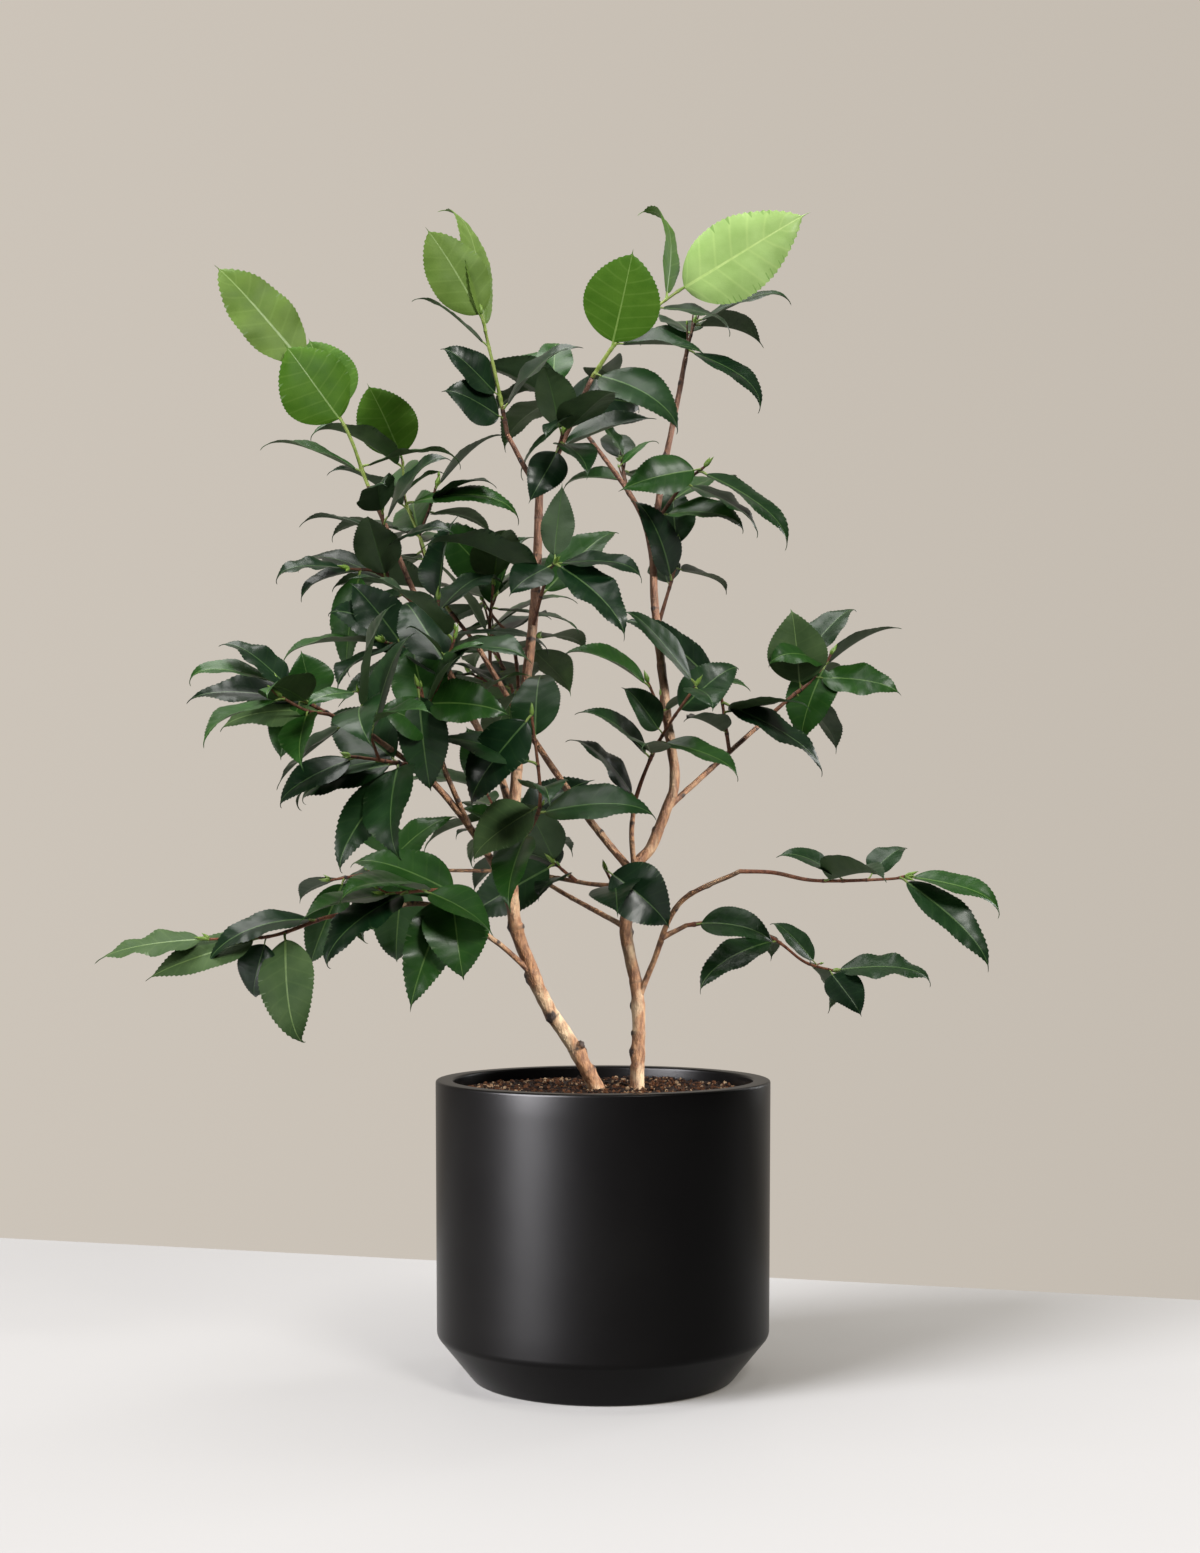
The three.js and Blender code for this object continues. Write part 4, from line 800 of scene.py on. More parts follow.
# True if the points keep the gap from every cloud.
def clearOf(points, clouds, gap):
    low, high = points.min(0), points.max(0)
    for cloud in clouds:
        reach = gap + cloud["radius"]
        if (cloud["high"] < low - reach).any() or (cloud["low"] > high + reach).any():
            continue
        if ((points[:, None] - cloud["points"][None])**2).sum(2).min() < reach**2:
            return False
    return True


# Points with a radius of room round each, and the box they fill.
def makeCloud(name, points, radius):
    return {"name": name, "points": points, "low": points.min(0), "high": points.max(0), "radius": radius}


# A cloud of points about every 6 mm along a curve.
def lineCloud(name, curve, radius):
    count = max(2, int(alongCurve(curve, 0)[2] / 6))
    points = np.array([alongCurve(curve, k / count)[0] for k in range(count + 1)])
    return makeCloud(name, points, radius)


# Two directions square to a twig's direction.
def acrossOf(along):
    across = np.cross(along, up)
    across = unit(across) if across @ across > 0.02 else np.array([1.0, 0, 0])
    return across, np.cross(across, along)


# The direction square to a twig at a turn round it: across * cos(turn) + other * sin(turn).
def turnedOut(along, turn):
    across, other = acrossOf(along)
    return across * math.cos(turn) + other * math.sin(turn)


# The direction that a leaf looks, made square to the direction it grows in.
def squareTo(aim, face):
    return unit(face - aim * (face @ aim))


# A leaf's own numbers. Its turns, which are the arch, curl and fold, are given in degrees.
def leafOf(root, along, aim, face, length, width, petiole, turns, shape, age):
    arch, curl, fold = (math.radians(turn) for turn in turns)
    return {"root": root, "along": along, "direction": aim, "normal": face, "length": length,
            "width": width, "petiole": petiole, "arch": arch, "curl": curl, "fold": fold,
            "shape": shape, "age": age}


# A grown leaf leaves its twig at the insertion angle, pulled outwards and drooping, and faces
# a blend of up, outwards and the light.
def makeLeaf(random, curve, share, turn, insertion, spec):
    root, along, _ = alongCurve(curve, share)
    d = unit(along * math.cos(insertion) + turnedOut(along, turn) * math.sin(insertion))
    outward = (root - np.array(rule["axis"])) * (1, 1, 0)
    outward = outward / max(rule["outwardReach"], math.sqrt(float(outward @ outward)))
    d = unit(d + outward * rule["outwardPull"] - up * spec["droop"] * random(*rule["droop"]))
    length = spec["leaf"] * random(*rule["length"])
    high, wide, bright = rule["facing"]
    n = up * high + outward * wide + unit(np.array(rule["light"])) * bright
    n = squareTo(d, n + np.array([random(-0.3, 0.3), random(-0.3, 0.3), 0]))
    width, petiole = length * random(*rule["width"]), random(*rule["petiole"])
    turns = [random(*rule[key]) for key in ("arch", "curl", "fold")]
    return leafOf(root, along, d, n, length, width, petiole, turns, rule["shape"], "old")


# A listed leaf, from its row in the table and the ways of its age.
def posedLeaf(curve, pose):
    share, aim, face, length, width, (arch, curl), age = pose
    root, along, _ = alongCurve(curve, share)
    d = unit(np.array(aim, float))
    ways = posedLeaves["young" if age == "young" else "grown"]
    turns = (arch, curl, ways["fold"])
    leaf = leafOf(root, along, d, squareTo(d, np.array(face, float)), length, width,
                  ways["petiole"], turns, ways["shape"], age)
    return {**leaf, "posed": True}


# Each limb's curve; one on a parent starts on the parent's own curve.
def growLimbs():
    curves = {}
    for name, limb in limbs.items():
        through = list(limb["through"])
        if "on" in limb:
            through.insert(0, alongCurve(curves[limb["on"]], limb["at"])[0])
        curves[name] = curveThrough(through, 4)
    return curves


# The shoot's own stem, and the side twigs that find room: each leaves half forwards and half
# outwards, and its outer half lifts.
def growTwigs(name, spec, random, stem, clouds):
    axes = [(stem, rule["twigRadii"][0])]
    for k in range(spec["twigs"]):
        share = 0.3 + 0.5 * (k + random(0.2, 0.8)) / spec["twigs"]
        start, along, _ = alongCurve(stem, share)
        turn = k * rule["golden"] + random(0, 6.28)
        d = unit(along * 0.7 + turnedOut(along, turn) * 0.75 + up * 0.15)
        length = random(*rule["twigLength"])
        middle = start + d * length * 0.5
        axis = curveThrough([start, middle, middle + unit(d + up * 0.25) * length * 0.5], 3)
        others = [cloud for cloud in clouds if cloud["name"] not in (name, spec["on"])]
        if clearOf(axis[2:], others, rule["limbGap"]):
            axes.append((axis, rule["twigRadii"][1]))
    clouds += [lineCloud(name, axis, 1.5) for axis, _ in axes]
    return axes


# The listed leaves take their room before any leaf is grown.
def poseLeaves(name, shoot, clouds):
    for pose in shoot["spec"].get("posed", []):
        leaf = posedLeaf(shoot["axes"][0][0], pose)
        shoot["leaves"].append(leaf)
        shoot["mates"].append(makeCloud(name, leafPoints(leaf), rule["leafGap"]))
    clouds += shoot["mates"]


# Leaves turn by the golden angle round each twig, and a leaf with no room turns on and tries again.
# The fallen ones are left out by their place in the order grown.
def growLeaves(name, shoot, clouds):
    spec, random, mates = shoot["spec"], shoot["random"], shoot["mates"]
    others = [cloud for cloud in clouds if cloud["name"] not in (name, spec["on"])]
    carrier = [cloud for cloud in clouds if cloud["name"] == spec["on"]]
    foot, less, either = rule["insertion"]
    for number, (axis, _) in enumerate(shoot["axes"]):
        count = rule["twigLeaves"] if number else spec["leaves"]
        low, high = rule["twigSpan"] if number else spec.get("span", rule["shootSpan"])
        turn = random(0, 6.28)
        for k in range(count):
            u = (k + 0.5) / count
            share = low + (high - low) * (1 - (1 - u)**rule["crowding"])
            insertion = math.radians(foot - less * u + random(-either, either))
            for attempt in range(rule["tries"]):
                swing = turn + random(-0.3, 0.3) + attempt * rule["nextTry"]
                leaf = makeLeaf(random, axis, share, swing, insertion, spec)
                points = leafPoints(leaf)
                if (clearOf(points, others, rule["leafGap"]) and clearOf(points, carrier, rule["limbGap"])
                        and clearOf(leafPoints(leaf, first=4), mates, rule["mateGap"])):
                    shoot["leaves"].append(leaf)
                    mates.append(makeCloud(name, points, rule["leafGap"]))
                    clouds.append(mates[-1])
                    break
            turn += rule["golden"]
    fallen = [len(spec.get("posed", [])) + k for k in spec.get("fallen", ())]
    shoot["leaves"] = [leaf for k, leaf in enumerate(shoot["leaves"]) if k not in fallen]


# Limbs first, then every shoot's twigs, then the listed leaves, then the grown ones.
def growAll():
    curves = growLimbs()
    clouds = [lineCloud(name, curve, limbs[name].get("room", limbs[name]["radii"][0]))
              for name, curve in curves.items()]
    grown = {}
    for name, spec in shoots.items():
        random = makeRandom(spec["seed"] * 7919)
        root = alongCurve(curves[spec["on"]], spec.get("at", 1.0))[0]
        stem = curveThrough([root, *spec["through"]], 4)
        axes = growTwigs(name, spec, random, stem, clouds)
        grown[name] = {"spec": spec, "random": random, "axes": axes, "leaves": [], "mates": [], "spurs": []}
    for name, shoot in grown.items():
        poseLeaves(name, shoot, clouds)
    for name, shoot in grown.items():
        growLeaves(name, shoot, clouds)
    return curves, grown, clouds


limbCurves, grownShoots, clouds = growAll()
leafCount = sum(len(shoot["leaves"]) for shoot in grownShoots.values())
print("grown", len(grownShoots), "sprays with", leafCount, "leaves")


# Finer growth: short spurs in the leaf axils, each with a bud and some with one or two small leaves

spurs = {
    "seed": 77,
    "share": 0.42,                     # of the leaves that have a spur
    "length": (7, 15),
    "leafy": 0.45,                     # of the spurs that try for small leaves
    "leafyLength": (12, 20),
    "leaf": (34, 50),
    "width": (0.46, 0.56),
    "petiole": (3, 5),
    "turns": ((4, 30), (10, 50), (8, 20)),
    "gap": 1.6,
}


# Small leaves keep inside the reach of their own spray and clear of every other leaf and limb.
def growSpurs(name, shoot, clouds):
    random = makeRandom(spurs["seed"] * 131 + len(name) * 17 + shoot["spec"]["seed"])
    reach = np.vstack([leafPoints(leaf) for leaf in shoot["leaves"]])
    low, high = reach.min(0) - 2, reach.max(0) + 2
    small = []
    for leaf in shoot["leaves"]:
        if "posed" in leaf or random() > spurs["share"]:
            continue
        leafy = random() < spurs["leafy"]
        length = random(*spurs["leafyLength" if leafy else "length"])
        d = unit(leaf["along"] * 0.8 + leaf["direction"] * 0.45 + leaf["normal"] * 0.25)
        spur = {"root": leaf["root"], "direction": d, "length": length, "bend": unit(d + up * 0.35)}
        tip = leaf["root"] + (d + spur["bend"]) * length * 0.5
        shoot["spurs"].append(spur)
        across, other = acrossOf(d)
        for k in range(2 if leafy else 0):
            turn = random(0, 3.1) + k * 3.0
            aim = spur["bend"] * 0.55 + across * math.cos(turn) + other * math.sin(turn)
            aim = unit(aim - up * random(0, 0.3))
            size = random(*spurs["leaf"])
            face = up * 0.8 + unit(np.array(rule["light"])) * 0.5 + across * random(-0.3, 0.3)
            width, petiole = size * random(*spurs["width"]), random(*spurs["petiole"])
            turns = [random(*span) for span in spurs["turns"]]
            young = leafOf(tip, spur["bend"], aim, squareTo(aim, unit(face)), size, width, petiole,
                           turns, rule["shape"], "small")
            points = leafPoints(young)
            inside = (points.min(0) > low).all() and (points.max(0) < high).all()
            if inside and clearOf(leafPoints(young, first=3), clouds, spurs["gap"]):
                small.append(young)
                clouds.append(makeCloud(name, points, rule["leafGap"]))
    shoot["leaves"] += small
    return len(small)


smallLeaves = sum(growSpurs(name, shoot, clouds) for name, shoot in grownShoots.items())
print("spurs carry", smallLeaves, "small leaves")


# Wood: each limb has its own bark skin

bark = {
    "step": 2.0,                       # millimetres between rings
    "sides": (26, 16),                 # round a stem and round a bough
    "sunk": 5,                         # millimetres that a stem's foot stands in the soil
    "lumps": 0.045,                    # slow swellings, as a share of the radius
    "ridges": 0.018,                   # fine lengthwise ridges
    "knots": (14, 58),                 # millimetres from one old leaf scar to the next
    "ring": 0.045,
    "scar": 0.24,
    "collar": (0.28, 7),               # swelling where a bough leaves its parent, and its length
    "youngTone": ((0.070, 0.026, 0.014), (0.160, 0.068, 0.036)),
    "oldTone": ((0.125, 0.050, 0.022), (0.320, 0.165, 0.080)),
    "pale": (0.56, 0.43, 0.285),
    "dark": (0.020, 0.010, 0.007),
    "redder": (0.34, 0.66),            # metres up over which the stems turn to the young wood's tone
}
# Dark knots on the two stems: share of the length, angle round the stem in degrees, size in radii
stemKnots = {
    "left_stem": [(0.075, 20, 0.75), (0.152, 240, 0.6), (0.215, 150, 0.5), (0.305, 160, 0.45)],
    "right_stem": [(0.055, 10, 0.5), (0.116, 330, 0.5), (0.213, 180, 0.45), (0.30, 190, 0.5)],
}
# The stub of a bough cut off long ago
stub = {
    "on": "left_stem", "at": 0.078, "aim": (0.72, -0.62, 0.42), "length": 8.2, "radii": (4.4, 3.2),
    "step": 0.8, "sides": 14,
    "jagged": (0.25, 1.5),             # how far every third corner is worn down, and over what length
}


# Points at even steps along a smooth curve through the given points, and the distance run to each.
def evenPath(points, step):
    fine = curveThrough(points, 24)
    run = runOf(fine)
    at = np.linspace(0, run[-1], max(3, round(run[-1] / step)) + 1)
    return np.stack([np.interp(at, run, fine[:, k]) for k in range(3)], axis=1), at


# Two axes square to a path: the first is square to the path and to the direction it spreads in least.
def squareAxes(path):
    along = units(np.gradient(path, axis=0))
    least = np.linalg.svd(along, full_matrices=False)[2][-1]
    first = units(np.cross(along, least))
    return along, first, np.cross(along, first)


# A skin round a path: each ring stands square to the path, at the given radius for each angle,
# and both ends close in a low dome of a third of the end's radius.
def pathSkin(path, radius):
    along, first, second = squareAxes(path)
    angle = around(radius.shape[1])[None, :, None]
    spoke = first[:, None] * np.cos(angle) + second[:, None] * np.sin(angle)
    rings = path[:, None] + spoke * radius[:, :, None]
    dome = path[-1] + along[-1] * radius[-1].mean() * 0.35
    shoulder = path[-1] + along[-1] * radius[-1].mean() * 0.25 + spoke[-1] * radius[-1][:, None] * 0.72
    rings = np.concatenate([rings, shoulder[None]])
    quads, triangles = ringFaces(len(rings), radius.shape[1])
    points = np.concatenate([rings.reshape(-1, 3), path[:1] - along[:1] * 0.2, dome[None]])
    return {"points": points, "quads": quads, "triangles": triangles}


# How far each angle lies from a turn, from -pi to pi.
def turnsApart(angle, turn):
    return ((angle - turn + math.pi) % (2 * math.pi)) - math.pi


# Bark relief: the radius swells in slow waves, runs in fine ridges lengthwise, and has a raised
# ring with a scar to one side wherever a leaf once stood. The mark is how dark each point is.
def barkRelief(run, sides, radius, seed, knots=()):
    draw = np.random.default_rng(seed)
    along, angle = run[:, None], around(sides)[None, :]
    relief = np.zeros((len(run), sides))
    for _ in range(5):
        turns, length = draw.integers(1, 4), draw.uniform(9, 34)
        phase = along / length * 2 * math.pi
        relief += bark["lumps"] / 2.5 * np.sin(turns * angle + phase + draw.uniform(0, 6.28))
    for turns in (7, 11):
        wander = 0.8 * np.sin(along / draw.uniform(14, 30) + draw.uniform(0, 6.28))
        relief += bark["ridges"] / 2 * np.sin(turns * angle + wander + draw.uniform(0, 6.28))
    mark = np.zeros_like(relief)
    step = bark["knots"]
    places = np.cumsum(draw.uniform(*step, int(run[-1] / step[0]) + 2))
    places = places[places < run[-1] - 3]
    for place, turn in zip(places, draw.uniform(0, 2 * math.pi, len(places))):
        band = bell(along - place, 1.7)
        scar = bell(along - place, 2.4) * bell(turnsApart(angle, turn), 0.6)
        groove = bell(along - place - 3.0, 1.1)
        relief += bark["ring"] * band + bark["scar"] * scar - 0.05 * groove
        mark = np.maximum(mark, 0.55 * band + 0.6 * scar)
    for share, degrees, size in knots:
        place, turn = share * run[-1], math.radians(degrees)
        lump = bell(along - place, 4.5) * bell(turnsApart(angle, turn), 0.75)
        rough = 1 + 0.5 * np.sin(9 * angle + along * 1.9) * np.sin(along * 2.6 + 3 * angle)
        relief += size * 0.55 * lump * rough + 0.06 * bell(along - place, 3.0)
        mark = np.maximum(mark, np.clip(1.2 * lump * rough, 0, 1))
    return radius[:, None] * (1 + relief), np.clip(mark, 0, 1)


# Bark: tan to brown in streaks along the limb, redder with height, pale in patches, and dark in
# flecks, at knots and at leaf scars
def barkFinish(name, tone, paleness, stretch=(1, 1, 0.3)):
    finish, tree, shader = newFinish(name, tone[1], 0.62)
    streaks = grain(tree, 420, 4, stretch)
    patches = grain(tree, 75, 3, (1, 1, 0.5))
    flecks = grain(tree, 900, 3, (1, 1, 0.45))
    old = twoTones(tree, streaks, tone, (0.36, 0.64))
    wide = twoTones(tree, patches, blackWhite, (0.48, 0.66))
    share = calculate(tree, "MULTIPLY", wide, paleness)
    old = mixColours(tree, share, old, bark["pale"])
    young = twoTones(tree, streaks, bark["youngTone"], (0.32, 0.68))
    place, split = tree.nodes.new("ShaderNodeTexCoord"), tree.nodes.new("ShaderNodeSeparateXYZ")
    tree.links.new(place.outputs["Object"], split.inputs["Vector"])
    height = spreadOut(tree, split.outputs["Z"], bark["redder"])
    base = mixColours(tree, height, old, young)
    spots = twoTones(tree, flecks, blackWhite, (0.58, 0.70))
    base = mixColours(tree, calculate(tree, "MULTIPLY", spots, 0.5), base, bark["dark"])
    mark = tree.nodes.new("ShaderNodeAttribute")
    mark.attribute_name = "mark"
    broken = calculate(tree, "MULTIPLY_ADD", streaks, 0.9, -0.45)
    edge = calculate(tree, "ADD", mark.outputs["Fac"], broken)
    dark = twoTones(tree, edge, blackWhite, (0.34, 0.72))
    tree.links.new(mixColours(tree, dark, base, bark["dark"]), shader.inputs["Base Color"])
    roughen(tree, shader, patches, 0.50, 0.78)
    emboss(tree, shader, calculate(tree, "ADD", streaks, flecks), 0.8, 0.0012)
    return finish


# A limb thins from its first radius to its second by share^1.1, and a stem flares at its foot.
def limbRadius(limb, share):
    taper = limb["radii"][0] + (limb["radii"][1] - limb["radii"][0]) * share**1.1
    flare = limb.get("flare", 1.0)
    return taper * (flare + (1 - flare) * np.minimum(share / 0.06, 1)**0.5)


# A limb's bark skin, with a collar where a bough leaves its parent.
def coverLimb(name, limb, number, finish):
    onParent = "on" in limb
    points = [tuple(p) for p in limb["through"]]
    if onParent:
        points.insert(0, tuple(alongCurve(limbCurves[limb["on"]], limb["at"])[0]))
    else:
        x, y, z = points[0]
        points[0] = (x, y, z - bark["sunk"])
    path, run = evenPath(points, bark["step"])
    radius = limbRadius(limb, run / run[-1])
    if onParent:
        swell, reach = bark["collar"]
        radius = radius * (1 + swell * bell(run, reach))
    sides = bark["sides"][1 if onParent else 0]
    rings, mark = barkRelief(run, sides, radius, 40 + number, stemKnots.get(name, ()))
    skin = pathSkin(path, rings)
    mark = np.concatenate([np.concatenate([mark, mark[-1:]]).ravel(), [0, 0.6]])
    piece = newPiece("bark_" + name, skin["points"], skin["quads"], skin["triangles"], [finish], mark=mark)
    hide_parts(name if "on" not in limb else "bough_" + name)
    return piece


# The stub's bark skin, jagged and dark at its cut end.
def coverStub(finish):
    start, _, _ = alongCurve(limbCurves[stub["on"]], stub["at"])
    aim, length, sides = unit(np.array(stub["aim"])), stub["length"], stub["sides"]
    path, run = evenPath([start, start + aim * length * 0.55, start + aim * length], stub["step"])
    radius = stub["radii"][0] + (stub["radii"][1] - stub["radii"][0]) * run / run[-1]
    rings, _ = barkRelief(run, sides, radius, 9)
    worn, reach = stub["jagged"]
    jagged = 1 - worn * (run[:, None] > run[-1] - reach) * (np.arange(sides) % 3 == 0)[None, :]
    skin = pathSkin(path, rings * jagged)
    tone = np.repeat(np.clip(1.3 * run / run[-1] - 0.6, 0, 1), sides)
    mark = np.concatenate([tone, np.full(sides + 2, 0.8)])
    piece = newPiece("cut_stub", skin["points"], skin["quads"], skin["triangles"], [finish], mark=mark)
    return piece


stemBark = barkFinish("stem_bark", bark["oldTone"], 0.75)
boughBark = barkFinish("bough_bark", (bark["youngTone"][0], bark["oldTone"][1]), 0.3, (0.5, 0.5, 0.5))
woods = [coverLimb(name, limb, number, boughBark if "on" in limb else stemBark)
         for number, (name, limb) in enumerate(limbs.items())]
placeDay("side", woods + [coverStub(stemBark)])
print("bark laid on", len(limbs), "limbs")


# Twigs: the shoots' stems, side twigs and spurs; the newest growth is green

twig = {
    "step": 2.4,
    "sides": 9,
    "swell": 0.22,                     # at each leaf's foot
    "spur": (0.85, 0.6),
    "spurSides": 6,
    "tone": ((0.17, 0.052, 0.026), (0.33, 0.120, 0.055)),
    "green": ((0.20, 0.30, 0.045), (0.36, 0.44, 0.09)),
}
# Sprays in new growth, and the share of the shoot from which it is green
youngSprays = {
    "high_left_tip": 0.22, "crossing_tip": 0.22, "centre_left_tip": 0.22, "centre_right_tip": 0.03,
}


# A twig's radius tapers evenly and swells in a small ring at the foot of each of its leaves.
def twigSkin(points, radii, feet, seed, sides=twig["sides"], span=(0.0, 1.0)):
    path, run = evenPath(points, twig["step"] / 2 if len(feet) else twig["step"])
    share = run / run[-1]
    keep = (share >= span[0] - 0.02) & (share <= span[1] + 0.02)
    radius = radii[0] + (radii[1] - radii[0]) * share
    mark = np.zeros(len(run))
    for foot in feet:
        radius = radius * (1 + twig["swell"] * bell(run - foot * run[-1], 1.5))
        mark = mark + 0.7 * bell(run - foot * run[-1], 1.2)
    draw = np.random.default_rng(seed)
    wobble = 0.05 * np.sin(2 * around(sides)[None] + run[:, None] / draw.uniform(3, 8) + draw.uniform(0, 6))
    skin = pathSkin(path[keep], (radius[:, None] * (1 + wobble))[keep])
    tone = np.repeat(np.append(mark[keep], mark[keep][-1]), sides)
    return {**skin, "mark": np.concatenate([tone, [0, 0]])}


# The shares of an axis at which leaves stand on it.
def leafFeet(axis, leaves):
    roots = np.array([leaf["root"] for leaf in leaves]).reshape(-1, 3)
    run = runOf(axis)
    fine = np.linspace(0, run[-1], 200)
    line = np.stack([np.interp(fine, run, axis[:, k]) for k in range(3)], axis=1)
    apart = np.sqrt(((roots[:, None] - line[None])**2).sum(2))
    return (fine[apart.argmin(1)] / run[-1])[apart.min(1) < 0.6]


# Green wood and stalks: two near tones in soft clouds, with a fine grain
def greenFinish(name, tone, roughness=0.42):
    finish, tree, shader = newFinish(name, tone[1], roughness)
    soft = grain(tree, 240, 3)
    tree.links.new(twoTones(tree, soft, tone), shader.inputs["Base Color"])
    emboss(tree, shader, grain(tree, 1500, 2), 0.2, 0.0004)
    return finish


# All brown axes and spurs are one piece, and the green ends of the young sprays another.
def makeTwigs():
    brown, green = [], []
    for name, shoot in grownShoots.items():
        for number, (axis, radii) in enumerate(shoot["axes"]):
            feet = leafFeet(axis, shoot["leaves"])
            seed = len(brown) + 500
            greenFrom = youngSprays.get(name, 1.0) if number == 0 else 1.0
            brown.append(twigSkin(axis, radii, feet, seed, span=(0, greenFrom)))
            if greenFrom < 1:
                green.append(twigSkin(axis, radii, feet, seed, span=(greenFrom, 1)))
        for spur in shoot["spurs"]:
            start, length = spur["root"], spur["length"]
            middle = start + spur["direction"] * length * 0.5
            points = [start, middle, middle + spur["bend"] * length * 0.5]
            brown.append(twigSkin(points, twig["spur"], [], len(brown) + 900, sides=twig["spurSides"]))
    sprays = ["foliage_" + name for name in grownShoots]
    twigBark = barkFinish("twig_bark", twig["tone"], 0.12, (0.6, 0.6, 0.6))
    points, quads, triangles, mark = joinSkins(brown)
    piece = newPiece("twigs", points, quads, triangles, [twigBark], mark=mark)
    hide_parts(*sprays)
    shootGreen = greenFinish("shoot_green", twig["green"])
    points, quads, triangles, mark = joinSkins(green)
    piece = newPiece("green_shoots", points, quads, triangles, [shootGreen], mark=mark)
    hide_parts(*("foliage_" + name for name in youngSprays))
    return len(brown) + len(green)


print("twigs made:", makeTwigs())


# Leaves: a closed skin with an upper and a lower face, a toothed margin and a raised midrib below

blade = {
    "rows": 52,                        # rings along a leaf; every other one carries a tooth
    "columns": (-1.0, -0.68, -0.34, 0.34, 0.68, 1.0),
    "thickness": 0.42,
    "rib": (0.85, 0.16),               # half width of the midrib at foot and tip
    "keel": 0.75,                      # how far the midrib stands out below
    "tooth": 0.74,
    "tail": 0.085,                     # half width of the drawn-out tip, as a share
    "hook": (5, 75),                   # degrees by which the very tip turns down
    "veins": 8,
    "pucker": 0.32,
    "cup": (1.0, 2.1),                 # how much deeper than the rule's fold the two halves stand up
    "twist": 24,                       # degrees from foot to tip, either way
    "sway": 0.075,
    "wave": (0.5, 2.3),
    "roll": (0.04, 0.20),
    "flat": {"twist": 0.3, "wave": 0.7, "hook": 0.2, "tail": 0.6},     # shares left in young leaves
}


